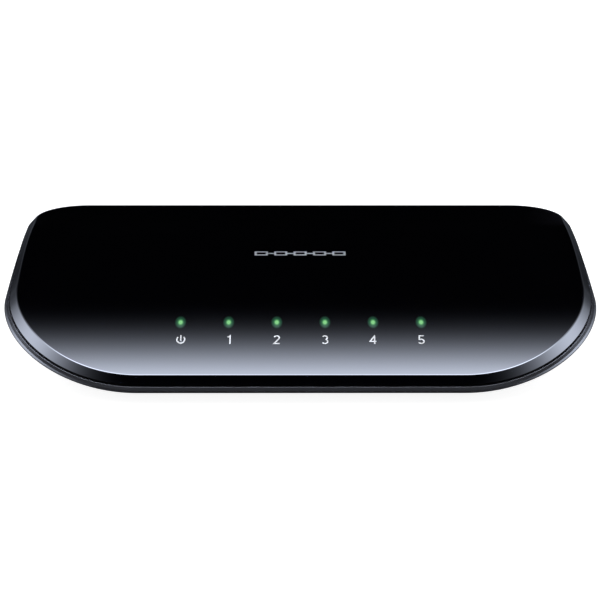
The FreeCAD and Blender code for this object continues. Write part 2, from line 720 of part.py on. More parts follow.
def inlet_pin(axis_z):
    """Centre pin, free along the bore and thicker where the housing holds it."""
    bore_end = "rear_wall - jack_bore_depth"
    free = rod("inlet_pin_rod", "jack_pin_radius", "jack_bore_depth - jack_pin_tip_in", "jack_x", bore_end,
               axis_z)
    root = rod("inlet_pin_root", "jack_root_radius", "jack_root_length", "jack_x",
               bore_end + " - jack_root_length", axis_z)
    return node(joined("inlet_pin_shape", [free, root]), "inlet_centre_pin")


def inlet_leaf(axis_z):
    """Sprung leaf that presses on the plug from below."""
    body = doc.addObject("PartDesign::Body", "inlet_leaf")
    crest_from = "leaf_length * leaf_crest_from"
    crest_to = "leaf_length * leaf_crest_to"
    tip_z = "leaf_rise * leaf_tip_ratio"
    outline = [
        ("-leaf_pivot_radius", "0"), ("0", "-leaf_thick / 2"), (crest_from, "leaf_rise - leaf_thick"),
        (crest_to, "leaf_rise - leaf_thick"), ("leaf_length", tip_z + " - leaf_thick"),
        ("leaf_length", tip_z), (crest_to, "leaf_rise"), (crest_from, "leaf_rise"), ("0", "leaf_thick / 2"),
    ]
    pad(body, "leaf_pad", polygon(body, "leaf_shape", "YZ_Plane", outline), "leaf_width", both_ways=True)
    place(body, "jack_x", "rear_wall - leaf_pivot_in", axis_z + " - leaf_pivot_down")
    node(body, "inlet_spring_leaf")


def build_inlet():
    """Barrel inlet: housing, centre pin, terminals and the sprung leaf below the plug."""
    axis_z = BOARD_TOP + " + jack_axis_up"
    pin = inlet_pin(axis_z)
    places = [("0", "terminal_pin_y"), ("0", "terminal_leaf_y"), ("terminal_side_x", "terminal_side_y")]
    terminals = [
        block("terminal_%d" % number, ("terminal_width", "terminal_thick", "board_thick + lead_pin_reach"),
              ("jack_x + " + x, "rear_wall - jack_depth + " + y), "board_low - lead_pin_reach")
        for number, (x, y) in enumerate(places)
    ]
    node(group("terminal_set", terminals), "inlet_terminals")
    solid = block("inlet_solid", ("jack_width", "jack_depth", "jack_height"),
                  ("jack_x", "rear_wall - jack_depth / 2"), BOARD_TOP)
    bore = rod("inlet_bore", "jack_bore", "jack_bore_depth + cut_over", "jack_x",
               "rear_wall - jack_bore_depth", axis_z)
    slot = block("inlet_slot", ("jack_slot_width", "jack_slot_length", "jack_bore + jack_slot_depth"),
                 ("jack_x", "rear_wall - jack_bore_depth + jack_slot_length / 2"),
                 axis_z + " - jack_bore - jack_slot_depth")
    node(cut("inlet_shape", solid, [bore, slot, pin]), "inlet_housing")
    inlet_leaf(axis_z)
    return terminals


# ---------------------------------------------------------------- board

def build_board(pins):
    """Circuit board with cut front corners, four screw holes and holes for the pins."""
    body = doc.addObject("PartDesign::Body", "board_body")
    outline = [
        ("-board_half", "board_rear"), ("-board_half", "-board_front + board_corner"),
        ("-board_half + board_corner", "-board_front"), ("board_half - board_corner", "-board_front"),
        ("board_half", "-board_front + board_corner"), ("board_half", "board_rear"),
    ]
    pad(body, "board_pad", polygon(body, "board_outline", "XY_Plane", outline), "board_thick")
    holes = body.newObject("PartDesign::Pocket", "board_holes")
    holes.Profile = circles(body, "board_hole_circles", "XY_Plane", "board_hole", BOARD_SCREWS)
    holes.Type = "ThroughAll"
    holes.Midplane = True
    body.Tip = holes
    place(body, z="board_low")
    node(cut("board_shape", body, pins), "circuit_board")


def surface_trim(name, x):
    """Cube whose lower face lies along the cover's surface, a little below it, at a light."""
    trim = doc.addObject("Part::Box", name)
    for prop in ("Length", "Width", "Height"):
        trim.setExpression(prop, "2 * " + bind("trim_half"))
    sine = "((%s - light_y) / %s)" % (BEND_START, BEND_RADIUS)
    lean = math.degrees(math.asin(value_of(sine)))
    trim.Placement = FreeCAD.Placement(Vector(), FreeCAD.Rotation(Vector(1, 0, 0), lean))
    return place(trim, x + " - trim_half", "light_y - trim_half * sqrt(1 - %s^2)" % sine,
                 "%s - guide_inset - trim_half * %s" % (surface_formula("light_y"), sine))


def build_lights():
    """Light-emitting diodes on the board and clear guides up to the cover's surface."""
    top = surface_formula("light_y")
    bottom = BOARD_TOP + " + led_height + guide_clear"
    for index, name in enumerate(LIGHTS):
        x = light_centre(index)
        size = ("led_length", "led_width", "led_height")
        node(block("led_body_" + name, size, (x, "light_y"), BOARD_TOP), "led_" + name)
        stem = oval_column("guide_stem_" + name, "guide_radius", "guide_radius_long",
                           "%s + trim_half / 2 - (%s)" % (top, bottom), (x, "light_y"), bottom)
        collar = column("guide_collar_" + name, "guide_collar", "guide_collar_height", (x, "light_y"),
                        "%s - cover_thick - guide_collar_drop - guide_collar_height" % top)
        whole = joined("guide_whole_" + name, [stem, collar])
        trim = surface_trim("guide_trim_" + name, x)
        node(cut("guide_shape_" + name, whole, [trim]), "light_guide_" + name)


def build_switch_chip():
    """Switch chip with its leads, the thermal pad and the finned heat sink."""
    centre = ("chip_x", "chip_y")
    package = block("chip_package", ("chip_size", "chip_size", "chip_height"), centre, BOARD_TOP)
    reach = "chip_size + 2 * chip_lead"
    row = "chip_size * chip_lead_ratio"
    across = block("chip_leads_x", (reach, row, "chip_lead_thick"), centre, BOARD_TOP)
    along = block("chip_leads_y", (row, reach, "chip_lead_thick"), centre, BOARD_TOP)
    node(joined("chip_shape", [package, across, along]), "switch_chip")
    node(block("pad_sheet", ("chip_size", "chip_size", "pad_thick"), centre, BOARD_TOP + " + chip_height"),
         "thermal_pad")
    sink = doc.addObject("PartDesign::Body", "sink_body")
    half = "sink_size / 2"
    gap = "(sink_size - sink_fin) / (sink_fins - 1)"
    base = [("-" + half, "0"), (half, "0"), (half, "sink_base"), ("-" + half, "sink_base")]
    base_sketch = polygon(sink, "sink_base_shape", "XZ_Plane", base)
    pad(sink, "sink_base_pad", base_sketch, "sink_size", both_ways=True)
    fin = [
        ("-" + half, "sink_base / 2"), ("-%s + sink_fin" % half, "sink_base / 2"),
        ("-%s + sink_fin" % half, "sink_height"), ("-" + half, "sink_height"),
    ]
    fin_sketch = polygon(sink, "sink_fin_shape", "XZ_Plane", fin)
    one = pad(sink, "sink_fin_pad", fin_sketch, "sink_size", both_ways=True)
    repeated(sink, "sink_fin_row", one, "X_Axis", "sink_fins", "(sink_fins - 1) * %s" % gap)
    place(sink, "chip_x", "chip_y", BOARD_TOP + " + chip_height + pad_thick")
    node(sink, "heat_sink")


def build_magnetics():
    """One isolation transformer behind each port."""
    for number in PORTS:
        size = ("magnet_width", "magnet_depth", "magnet_height")
        node(block("magnet_%d" % number, size, (port_centre(number), "magnet_y"), BOARD_TOP),
             "port_transformer_%d" % number)


def capacitor(name, kind):
    """Electrolytic can with its crimped groove, on a square base."""
    radius = kind + "_can_radius"
    height = kind + "_can_height"
    centre = (name + "_can_x", name + "_can_y")
    groove = "can_gap + can_groove_low"
    outline = [
        ("0", "can_gap"), (radius, "can_gap"), (radius, groove),
        (radius + " - can_groove", groove + " + can_groove_half"),
        (radius, groove + " + 2 * can_groove_half"),
        (radius, height + " - can_round"), (radius + " - can_round", height), ("0", height),
    ]
    can = place(turned(name + "_can", outline), centre[0], centre[1], BOARD_TOP)
    side = "2 * (%s + can_base_margin)" % radius
    base = block(name + "_base", (side, side, "can_gap"), centre, BOARD_TOP)
    node(group(name + "_group", [can, base]), name + "_capacitor")


def upright_edges(shape):
    """Numbers, from 1, of a box's edges that run along Z."""
    directions = [edge.tangentAt(edge.FirstParameter) for edge in shape.Edges]
    return [number for number, way in enumerate(directions, start=1) if abs(way.z) > math.sqrt(0.5)]


def build_crystal():
    """Crystal in its flat metal can with round ends."""
    box = block("crystal_box", ("crystal_length", "crystal_width", "crystal_height"),
                ("crystal_x", "crystal_y"), BOARD_TOP)
    rounded = doc.addObject("Part::Fillet", "crystal_can")
    rounded.Base = box
    doc.recompute()
    radius = value_of("crystal_round")
    rounded.Edges = [(number, radius, radius) for number in upright_edges(box.Shape)]
    node(rounded, "crystal")


def chip_row(kind, name):
    """Row of small chip parts across the board."""
    size = ("small_length", "small_width", "small_height")
    parts = []
    for step in range(int(value_of(kind + "_count"))):
        x = "%s_x + (%d - (%s_count - 1) / 2) * small_pitch" % (kind, step, kind)
        parts.append(block("%s_%d" % (kind, step), size, (x, kind + "_y"), BOARD_TOP))
    node(group(kind + "_row", parts), name)


def build_small_parts():
    """Crystal, choke, regulator, memory, electrolytic cans and rows of chip parts."""
    build_crystal()
    node(block("choke_box", ("coil_size", "coil_size", "coil_height"), ("coil_x", "coil_y"), BOARD_TOP),
         "power_choke")
    for kind, name in (("regulator", "voltage_regulator"), ("memory", "memory_chip")):
        size = (kind + "_length", kind + "_width", kind + "_height")
        node(block(kind + "_box", size, (kind + "_x", kind + "_y"), BOARD_TOP), name)
    for name, kind in (("input", "large"), ("output", "small"), ("core", "small")):
        capacitor(name, kind)
    chip_row("resistor", "chip_resistors")
    chip_row("condenser", "chip_capacitors")


# ---------------------------------------------------------------- checks and files

def check_document():
    """Stop if any object failed to build or any piece is not a valid solid."""
    for thing in doc.Objects:
        bad = [state for state in thing.State if state in ("Invalid", "Error")]
        if bad:
            raise RuntimeError("%s is %s" % (thing.Name, bad))
    for thing in NODES:
        shape = thing.Shape
        if shape.isNull() or not shape.isValid() or not shape.Solids:
            raise RuntimeError("%s has no valid solid" % thing.Label)


def write_parts():
    """Write each piece to its own file."""
    os.makedirs("parts", exist_ok=True)
    for thing in NODES:
        thing.Shape.exportStep("parts/%s.step" % thing.Label)
        print("%-28s %3d solids %10.2f mm3" % (thing.Label, len(thing.Shape.Solids), thing.Shape.Volume))


fill_sheet()
build_cover()
build_lower_case()
build_feet()
build_label()
build_screws()
lead_bodies = build_ports()
terminal_blocks = build_inlet()
build_board(lead_bodies + terminal_blocks)
build_lights()
build_switch_chip()
build_magnetics()
build_small_parts()
doc.recompute()
check_document()
write_parts()
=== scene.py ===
"""Looks of the desktop network switch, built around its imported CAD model.

Blender units are metres, in the CAD frame: +X is the width, -Y the front with the lights,
+Y the rear with the ports, +Z up, and the origin lies under the middle of the case.
"""

import math

import bmesh
import bpy
from mathutils import Matrix, Vector


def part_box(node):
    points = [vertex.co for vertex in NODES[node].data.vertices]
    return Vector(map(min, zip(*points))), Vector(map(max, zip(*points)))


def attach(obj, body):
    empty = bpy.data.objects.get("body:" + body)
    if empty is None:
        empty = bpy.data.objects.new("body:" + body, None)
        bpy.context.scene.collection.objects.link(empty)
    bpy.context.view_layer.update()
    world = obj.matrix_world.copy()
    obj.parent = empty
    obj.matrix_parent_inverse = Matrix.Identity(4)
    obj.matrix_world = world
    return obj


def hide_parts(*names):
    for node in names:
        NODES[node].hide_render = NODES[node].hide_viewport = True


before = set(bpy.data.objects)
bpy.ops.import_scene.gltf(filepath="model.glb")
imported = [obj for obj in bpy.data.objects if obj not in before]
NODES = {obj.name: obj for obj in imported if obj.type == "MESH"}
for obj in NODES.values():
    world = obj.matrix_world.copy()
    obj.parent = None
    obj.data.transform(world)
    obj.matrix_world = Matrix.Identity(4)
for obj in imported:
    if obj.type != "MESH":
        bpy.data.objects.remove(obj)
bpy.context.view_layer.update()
MM = 0.001

# ---------------------------------------------------------------- driving dimensions

CASE_LOW, CASE_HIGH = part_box("bottom_case")
TOP_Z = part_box("top_cover")[1].z
BASE_Z = CASE_LOW.z
RIM_STEP = 3.0 * MM
PLATE_HALF = CASE_HIGH.x - RIM_STEP
PLATE_REACH = CASE_HIGH.y - RIM_STEP
FRONT_RADIUS = 35.7 * MM
REAR_RADIUS = 14.8 * MM
RIM_REAR_RADIUS = 17.8 * MM
BEND_RUN = 80.2 * MM
BEND_DROP = 20.0 * MM
BEND_RADIUS = (BEND_RUN ** 2 + BEND_DROP ** 2) / (2 * BEND_DROP)
BEND_START = BEND_RUN - PLATE_REACH
BEVEL_OUT = 2.0 * MM
BEVEL_DOWN = 2.15 * MM
EDGE_RADIUS = 1.0 * MM
LIP_IN = 0.4 * MM
LIP_RADIUS = 0.1 * MM
DECK_IN = 1.2 * MM
COVER_THICK = 2.0 * MM
REAR_WALL = 51.0 * MM
WALL_THICK = 3.0 * MM
FLOOR_THICK = 1.8 * MM
BASE_HALF = 72.0 * MM
BASE_FRONT = -44.5 * MM
BASE_FRONT_RADIUS = 31.5 * MM
BASE_REAR_RADIUS = 14.0 * MM
BASE_CHAMFER = 0.8 * MM
FLOOR_IN = 1.5 * MM
FLOOR_FRONT_IN = 2.0 * MM
HULL_OUT = 0.5 * MM
HULL_DROP = 4.45 * MM
TONGUE_IN = 3.0 * MM
INNER_DROP = 3.9 * MM

# Section of the tongue and rim in millimetres, as (out from the plate's edge, drop below it), with
# the radii of its rounded corners by index. Below FLARE_FROM the rim also flares sideways.
RIM_SECTION = [
    (-1.5, 2.02), (-1.5, 2.6), (1.7, 2.6), (2.42, 2.68), (2.55, 3.6), (2.78, 3.92), (2.84, 4.2),
    (2.5, 4.33),
]
RIM_ROUNDING = {3: 0.07, 4: 0.05, 5: 0.05, 6: 0.05}
FLARE_FROM = 2.7
FLARE_RATE = 0.5

# How far tools run past the faces that they open, and the openings in the lower case.
OVERCUT = 1.0 * MM
WINDOW_OVERCUT = 2.0 * MM
WINDOW_GAP = 0.25 * MM
WINDOW_CORNER = 0.05 * MM
VENT_PITCH = 6.0 * MM
VENTS_EACH_SIDE = 5
VENT_ROWS = (("rear", 34.0 * MM), ("front", -30.0 * MM))
VENT_HALF = Vector((1.0 * MM, 8.0 * MM, 0))
VENT_CORNER = 0.95 * MM
KEY_X = 46.0 * MM
KEY_Y = 4.0 * MM
KEY_RADIUS = 3.5 * MM
KEY_TRAVEL = 8.0 * MM
KEY_SLOT_HALF = 1.9 * MM
KEY_SLOT_CORNER = 1.88 * MM
POST_X = 64.0 * MM
POST_YS = (36.0 * MM, -12.0 * MM)
POST_RADIUS = 4.4 * MM
POST_ROOT = 1.0 * MM
POST_TOP = 12.0 * MM
RECESS_RADIUS = 3.2 * MM
RECESS_DEPTH = 6.0 * MM
FOOT_SEAT_RADIUS = 5.06 * MM
FOOT_SEAT_DEPTH = 0.4 * MM
LABEL_GAP = 0.5 * MM
LABEL_SEAT_DEPTH = 0.3 * MM
LABEL_CORNER = 1.2 * MM

# Light windows, and the marks printed round them and on the rear.
LIGHT_STRETCH = 2.02 / 1.24
WINDOW_RADIUS = 1.23 * MM
HOLE_RADIUS = 1.27 * MM
DOME_HEIGHT = 0.05 * MM
DOME_SINK = 0.03 * MM
GUIDE_LENGTH = 6.0 * MM
INK_LIFT = 0.012 * MM
INK_THICK = 0.01 * MM
RIBBON_STEP = 0.4 * MM
NUMBER_Y = -38.8 * MM
NUMBER_HEIGHT = 3.2 * MM
NUMBER_LINE = 0.4 * MM
NUMBER_SPREAD = 0.992
REAR_NUMBER_Z = 5.5 * MM
REAR_NUMBER_HEIGHT = 2.3 * MM
REAR_NUMBER_LINE = 0.34 * MM
POWER_SHIFT = 0.3 * MM
POWER_Y = -38.75 * MM

LIGHTS = ["power", "1", "2", "3", "4", "5"]
PORTS = ["1", "2", "3", "4", "5"]
WHOLE = "chassis"


def middle(node):
    """Middle of a CAD node's box."""
    low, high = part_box(node)
    return (low + high) / 2


def top_height(y):
    """Height of the cover's top at a place y."""
    past = BEND_START - y
    if past <= 0:
        return TOP_Z
    return TOP_Z - BEND_RADIUS + math.sqrt(BEND_RADIUS ** 2 - past ** 2)


def top_slope(y):
    """Angle by which the top leans towards the front at a place y."""
    return math.asin(max(0.0, BEND_START - y) / BEND_RADIUS)


# ---------------------------------------------------------------- materials

def new_material(name):
    """Empty node material, with its tree, shader and object coordinates."""
    material = bpy.data.materials.new(name)
    material.use_nodes = True
    tree = material.node_tree
    shader = tree.nodes["Principled BSDF"]
    coordinates = tree.nodes.new("ShaderNodeTexCoord")
    return material, tree, shader, coordinates.outputs["Object"]


def noise(tree, vector, scale, detail=2.0, roughness=0.5):
    """Noise texture's value in object space."""
    texture = tree.nodes.new("ShaderNodeTexNoise")
    texture.inputs["Scale"].default_value = scale
    texture.inputs["Detail"].default_value = detail
    texture.inputs["Roughness"].default_value = roughness
    tree.links.new(vector, texture.inputs["Vector"])
    return texture.outputs["Fac"]


def spread(tree, value, low, high, from_low=0.0, from_high=1.0, smooth=False):
    """A value brought from one range into another."""
    mapping = tree.nodes.new("ShaderNodeMapRange")
    if smooth:
        mapping.interpolation_type = "SMOOTHSTEP"
    ends = {"From Min": from_low, "From Max": from_high, "To Min": low, "To Max": high}
    for socket, number in ends.items():
        mapping.inputs[socket].default_value = number
    tree.links.new(value, mapping.inputs["Value"])
    return mapping.outputs["Result"]


def calc(tree, operation, *values):
    """Result of a math node on numbers and sockets."""
    node = tree.nodes.new("ShaderNodeMath")
    node.operation = operation
    for socket, value in zip(node.inputs, values):
        if isinstance(value, (int, float)):
            socket.default_value = value
        else:
            tree.links.new(value, socket)
    return node.outputs[0]


def blended(tree, factor, first, second):
    """Two colours mixed by a factor."""
    mix = tree.nodes.new("ShaderNodeMix")
    mix.data_type = "RGBA"
    mix.inputs[6].default_value = (*first, 1.0)
    mix.inputs[7].default_value = (*second, 1.0)
    tree.links.new(factor, mix.inputs[0])
    return mix.outputs[2]


def bumped(tree, shader, heights, distance):
    """Bump from the sum of weighted height values."""
    total = None
    for value, weight in heights:
        scaled = calc(tree, "MULTIPLY", value, weight)
        total = scaled if total is None else calc(tree, "ADD", total, scaled)
    bump = tree.nodes.new("ShaderNodeBump")
    bump.inputs["Distance"].default_value = distance
    tree.links.new(total, bump.inputs["Height"])
    tree.links.new(bump.outputs["Normal"], shader.inputs["Normal"])


def surface(name, dark, light, rough, grain, grain_depth, metallic=0.0, patch=180.0, gleam=0.5):
    """General moulded, painted or metal surface: patchy colour, uneven gloss and a fine grain.

    rough is the lowest and the highest roughness, grain the scale of the fine texture, gleam the
    strength of the sheen.
    """
    material, tree, shader, vector = new_material(name)
    patches = noise(tree, vector, patch, detail=4.0)
    tree.links.new(blended(tree, patches, dark, light), shader.inputs["Base Color"])
    fine = noise(tree, vector, grain, detail=3.0, roughness=0.65)
    uneven = noise(tree, vector, patch * 3, detail=5.0, roughness=0.7)
    tree.links.new(spread(tree, uneven, rough[0], rough[1]), shader.inputs["Roughness"])
    bumped(tree, shader, [(fine, 1.0), (uneven, 0.3)], grain_depth)
    shader.inputs["Metallic"].default_value = metallic
    shader.inputs["Specular IOR Level"].default_value = gleam
    return material


def gloss_material():
    """Piano-black cover: deep gloss with a trace of flow marks, dust and fine rub marks, and a
    painted green glow round the light windows.
    """
    material, tree, shader, vector = new_material("gloss_black")
    shader.inputs["IOR"].default_value = 1.5
    dust = noise(tree, vector, 9000.0, detail=1.0)
    specks = spread(tree, dust, 0.0, 1.0, from_low=0.78, from_high=0.84)
    tree.links.new(blended(tree, specks, (0.0006, 0.0006, 0.0012), (0.012, 0.012, 0.014)),
                   shader.inputs["Base Color"])
    smear = noise(tree, vector, 55.0, detail=6.0, roughness=0.6)
    tree.links.new(spread(tree, smear, 0.02, 0.07, from_low=0.35, from_high=0.75),
                   shader.inputs["Roughness"])
    flow = noise(tree, vector, 38.0, detail=1.0)
    bumped(tree, shader, [(flow, 1.0)], 0.00001)
    painted_green_glow(tree, shader, vector)
    return material


def painted_green_glow(tree, shader, vector):
    """Painted glow: faint green emission painted into the cover round each light's window, standing
    in for light that spills from it.
    """
    first = middle("light_guide_power")
    last = middle("light_guide_5")
    pitch = (last.x - first.x) / (len(LIGHTS) - 1)
    row_middle = (first.x + last.x) / 2
    row_half = (last.x - first.x) / 2 + pitch / 3
    parts = tree.nodes.new("ShaderNodeSeparateXYZ")
    tree.links.new(vector, parts.inputs[0])
    x, y, _ = parts.outputs
    beside = calc(tree, "PINGPONG", calc(tree, "SUBTRACT", x, first.x), pitch / 2)
    along = calc(tree, "DIVIDE", calc(tree, "SUBTRACT", y, first.y), LIGHT_STRETCH)
    squares = [calc(tree, "POWER", beside, 2.0),
               calc(tree, "POWER", calc(tree, "ABSOLUTE", along), 2.0)]
    away = calc(tree, "POWER", calc(tree, "ADD", *squares), 0.5)
    glow = spread(tree, away, 1.0, 0.0, 1.1 * MM, 1.65 * MM)
    inside = calc(tree, "COMPARE", x, row_middle, row_half)
    shaped = calc(tree, "MULTIPLY", calc(tree, "POWER", glow, 1.4), inside)
    # painted glow: green emission colour painted on the cover, fading out from each window
    tree.links.new(blended(tree, shaped, (0.0, 0.0, 0.0), (0.02, 0.075, 0.045)),
                   shader.inputs["Emission Color"])
    shader.inputs["Emission Strength"].default_value = 1.0


def print_material(name, ink, rough, metallic=0.0):
    """Screen-printed ink with a slightly uneven, grainy coat."""
    material, tree, shader, vector = new_material(name)
    cover = noise(tree, vector, 2600.0, detail=3.0, roughness=0.7)
    thin = tuple(channel * 0.82 for channel in ink)
    tree.links.new(blended(tree, cover, thin, ink), shader.inputs["Base Color"])
    tree.links.new(spread(tree, cover, rough - 0.08, rough + 0.08), shader.inputs["Roughness"])
    bumped(tree, shader, [(cover, 1.0)], 0.00001)
    shader.inputs["Metallic"].default_value = metallic
    return material


# Glow of a light window from its middle, at 0, to its rim, at 1.
LIGHT_COLOURS = {
    0.0: (0.2, 0.56, 0.2), 0.25: (0.26, 0.68, 0.27), 0.42: (0.17, 0.5, 0.19),
    0.56: (0.065, 0.25, 0.095), 0.72: (0.025, 0.115, 0.05), 1.0: (0.012, 0.052, 0.03),
}


def light_material():
    """Lit window of a light guide: a pale core in a green body that fades to its rim."""
    material, tree, shader, vector = new_material("green_light")
    flat = tree.nodes.new("ShaderNodeVectorMath")
    flat.operation = "MULTIPLY"
    flat.inputs[1].default_value = (1.0, 1.0 / LIGHT_STRETCH, 0.0)
    tree.links.new(vector, flat.inputs[0])
    radius = tree.nodes.new("ShaderNodeVectorMath")
    radius.operation = "LENGTH"
    tree.links.new(flat.outputs[0], radius.inputs[0])
    ramp = tree.nodes.new("ShaderNodeValToRGB")
    stops = ramp.color_ramp.elements
    stops[1].position = 1.0
    stops[0].position = 0.0
    stops[0].color = (*LIGHT_COLOURS[0.0], 1.0)
    stops[1].color = (*LIGHT_COLOURS[1.0], 1.0)
    for position in (0.25, 0.42, 0.56, 0.72):
        stops.new(position).color = (*LIGHT_COLOURS[position], 1.0)
    tree.links.new(spread(tree, radius.outputs["Value"], 0.0, 1.0, from_high=1.17 * MM),
                   ramp.inputs[0])
    tree.links.new(ramp.outputs[0], shader.inputs["Emission Color"])
    shader.inputs["Emission Strength"].default_value = 1.0
    depth = noise(tree, vector, 1500.0)
    tree.links.new(blended(tree, depth, (0.002, 0.006, 0.003), (0.003, 0.01, 0.005)),
                   shader.inputs["Base Color"])
    shader.inputs["Roughness"].default_value = 0.06
    return material


def board_material():
    """Green solder resist over copper tracks, with a fine glass weave."""
    material, tree, shader, vector = new_material("board_green")
    tracks = tree.nodes.new("ShaderNodeTexBrick")
    tracks.inputs["Scale"].default_value = 320.0
    tracks.inputs["Mortar Size"].default_value = 0.06
    tracks.inputs["Color1"].default_value = (0.008, 0.075, 0.03, 1.0)
    tracks.inputs["Color2"].default_value = (0.01, 0.095, 0.036, 1.0)
    tracks.inputs["Mortar"].default_value = (0.03, 0.17, 0.07, 1.0)
    tree.links.new(vector, tracks.inputs["Vector"])
    tree.links.new(tracks.outputs["Color"], shader.inputs["Base Color"])
    weave = noise(tree, vector, 2200.0)
    tree.links.new(spread(tree, weave, 0.25, 0.4), shader.inputs["Roughness"])
    bumped(tree, shader, [(tracks.outputs["Fac"], 0.6), (weave, 0.4)], 0.00003)
    return material


# Plain surfaces: name, darker and lighter colour, lowest and highest roughness, scale and depth in
# metres of the grain, and then metallic, scale of the patches and gleam where they aren't usual.
SURFACES = {
    "case": ("case_satin", (0.011, 0.011, 0.013), (0.018, 0.018, 0.021), (0.15, 0.26), 5200.0, 1e-5,
             0.0, 180.0, 0.45),
    "rubber": ("foot_rubber", (0.012, 0.012, 0.012), (0.03, 0.03, 0.029), (0.75, 0.92), 2400.0,
               5e-5),
    "label": ("label_film", (0.52, 0.53, 0.54), (0.6, 0.6, 0.61), (0.35, 0.45), 3000.0, 1e-5),
    "port": ("port_plastic", (0.008, 0.008, 0.009), (0.018, 0.018, 0.02), (0.28, 0.4), 4200.0,
             2e-5),
    "gold": ("contact_gold", (0.72, 0.46, 0.14), (0.9, 0.64, 0.25), (0.16, 0.3), 3800.0, 1e-5,
             1.0, 900.0),
    "nickel": ("contact_nickel", (0.5, 0.48, 0.43), (0.66, 0.64, 0.6), (0.2, 0.34), 3800.0, 1e-5,
               1.0, 900.0),
    "steel": ("screw_steel", (0.4, 0.4, 0.42), (0.58, 0.58, 0.6), (0.25, 0.42), 2600.0, 2e-5,
              1.0, 700.0),
    "sink": ("sink_anodised", (0.015, 0.015, 0.016), (0.03, 0.03, 0.032), (0.35, 0.5), 3000.0, 2e-5,
             0.6),
    "can": ("can_sleeve", (0.02, 0.022, 0.05), (0.03, 0.034, 0.08), (0.25, 0.35), 1500.0, 2e-5),
    "epoxy": ("chip_epoxy", (0.012, 0.012, 0.012), (0.024, 0.024, 0.024), (0.5, 0.65), 3500.0,
              3e-5),
    "pad": ("thermal_pad", (0.32, 0.34, 0.4), (0.42, 0.44, 0.5), (0.6, 0.8), 2000.0, 3e-5),
    "ceramic": ("chip_ceramic", (0.1, 0.07, 0.045), (0.3, 0.22, 0.15), (0.4, 0.6), 2500.0, 2e-5),
    "guide": ("light_guide", (0.2, 0.34, 0.2), (0.26, 0.42, 0.25), (0.12, 0.2), 1200.0, 1e-5),
    "lens": ("led_lens", (0.5, 0.72, 0.4), (0.6, 0.8, 0.5), (0.2, 0.3), 1200.0, 1e-5),
}

MATERIALS = {"gloss": gloss_material()}
for key, values in SURFACES.items():
    MATERIALS[key] = surface(*values)
MATERIALS["board"] = board_material()
MATERIALS["light"] = light_material()
MATERIALS["white_ink"] = print_material("white_ink", (0.78, 0.79, 0.8), 0.45)
MATERIALS["silver_ink"] = print_material("silver_ink", (0.42, 0.43, 0.46), 0.38, 0.35)
MATERIALS["grey_ink"] = print_material("grey_ink", (0.4, 0.41, 0.42), 0.5)


def finish_piece(piece, material, body=WHOLE, replaced=()):
    """Give a piece its material and slot, let it ride on a body and stand for CAD nodes."""
    piece.data.materials.clear()
    piece.data.materials.append(MATERIALS[material])
    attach(piece, body)
    if replaced:
        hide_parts(*replaced)
    return piece


# ---------------------------------------------------------------- mesh helpers

def mesh_object(name, mesh_builder):
    """Object from a bmesh that is in place in the frame."""
    mesh = bpy.data.meshes.new(name)
    bmesh.ops.recalc_face_normals(mesh_builder, faces=mesh_builder.faces)
    mesh_builder.to_mesh(mesh)
    mesh_builder.free()
    piece = bpy.data.objects.new(name, mesh)
    bpy.context.scene.collection.objects.link(piece)
    return piece


def smooth_by_angle(piece, degrees):
    """Smooth shading, kept crisp across edges sharper than an angle."""
    builder = bmesh.new()
    builder.from_mesh(piece.data)
    limit = math.radians(degrees)
    for face in builder.faces:
        face.smooth = True
    for edge in builder.edges:
        edge.smooth = len(edge.link_faces) == 2 and edge.calc_face_angle(0.0) < limit
    builder.to_mesh(piece.data)
    builder.free()
    return piece


def weighted_normals(piece):
    """Let broad faces keep their shading, so the narrow roundings between them carry the turn."""
    weighting = piece.modifiers.new("weighting", "WEIGHTED_NORMAL")
    weighting.mode = "FACE_AREA"
    weighting.weight = 80
    weighting.keep_sharp = True
    bpy.context.view_layer.update()
    return apply_modifiers(piece)


def apply_modifiers(piece):
    """Turn a piece's modifiers into its mesh."""
    depsgraph = bpy.context.evaluated_depsgraph_get()
    mesh = bpy.data.meshes.new_from_object(piece.evaluated_get(depsgraph))
    piece.modifiers.clear()
    piece.data = mesh
    return piece


def combine(piece, tools, operation):
    """Cut closed tools out of a piece, or join them to it, and remove the tools."""
    for tool in tools:
        step = piece.modifiers.new("combine", "BOOLEAN")
        step.operation = operation
        step.solver = "EXACT"
        step.object = tool
    bpy.context.view_layer.update()
    apply_modifiers(piece)
    for tool in tools:
        bpy.data.objects.remove(tool)
    return piece


def arc(centre_x, centre_y, radius, start, finish, steps=14):
    """Points along an arc, with its angles in degrees."""
    angles = [math.radians(start + (finish - start) * step / steps) for step in range(steps + 1)]
    return [(centre_x + radius * math.cos(angle), centre_y + radius * math.sin(angle))
            for angle in angles]


def rounded_slab(name, low, high, radius, steps=6):
    """Upright slab between two corners, with its four upright edges rounded."""
    builder = bmesh.new()
    outline = []
    for sign_x, sign_y, start in ((1, 1, 0), (-1, 1, 90), (-1, -1, 180), (1, -1, 270)):
        centre_x = (high.x if sign_x > 0 else low.x) - sign_x * radius
        centre_y = (high.y if sign_y > 0 else low.y) - sign_y * radius
        outline += arc(centre_x, centre_y, radius, start, start + 90, steps)
    bottom = [builder.verts.new((x, y, low.z)) for x, y in outline]
    top = [builder.verts.new((x, y, high.z)) for x, y in outline]
    builder.faces.new(reversed(bottom))
    builder.faces.new(top)
    for index in range(len(outline)):
        following = (index + 1) % len(outline)
        builder.faces.new((bottom[index], bottom[following], top[following], top[index]))
    return mesh_object(name, builder)


def disc_tool(name, centre, radius, low, high, stretch=1.0):
    """Upright round tool, or an oval one if stretched along Y."""
    steps = 48
    builder = bmesh.new()
    rows = []
    for z in (low, high):
        ring = []
        for step in range(steps):
            angle = 2 * math.pi * step / steps
            ring.append(builder.verts.new((centre.x + radius * math.cos(angle),
                                           centre.y + stretch * radius * math.sin(angle), z)))
        rows.append(ring)
        builder.faces.new(ring)
    for step in range(steps):
        following = (step + 1) % steps
        builder.faces.new((rows[0][step], rows[0][following], rows[1][following], rows[1][step]))
    return mesh_object(name, builder)


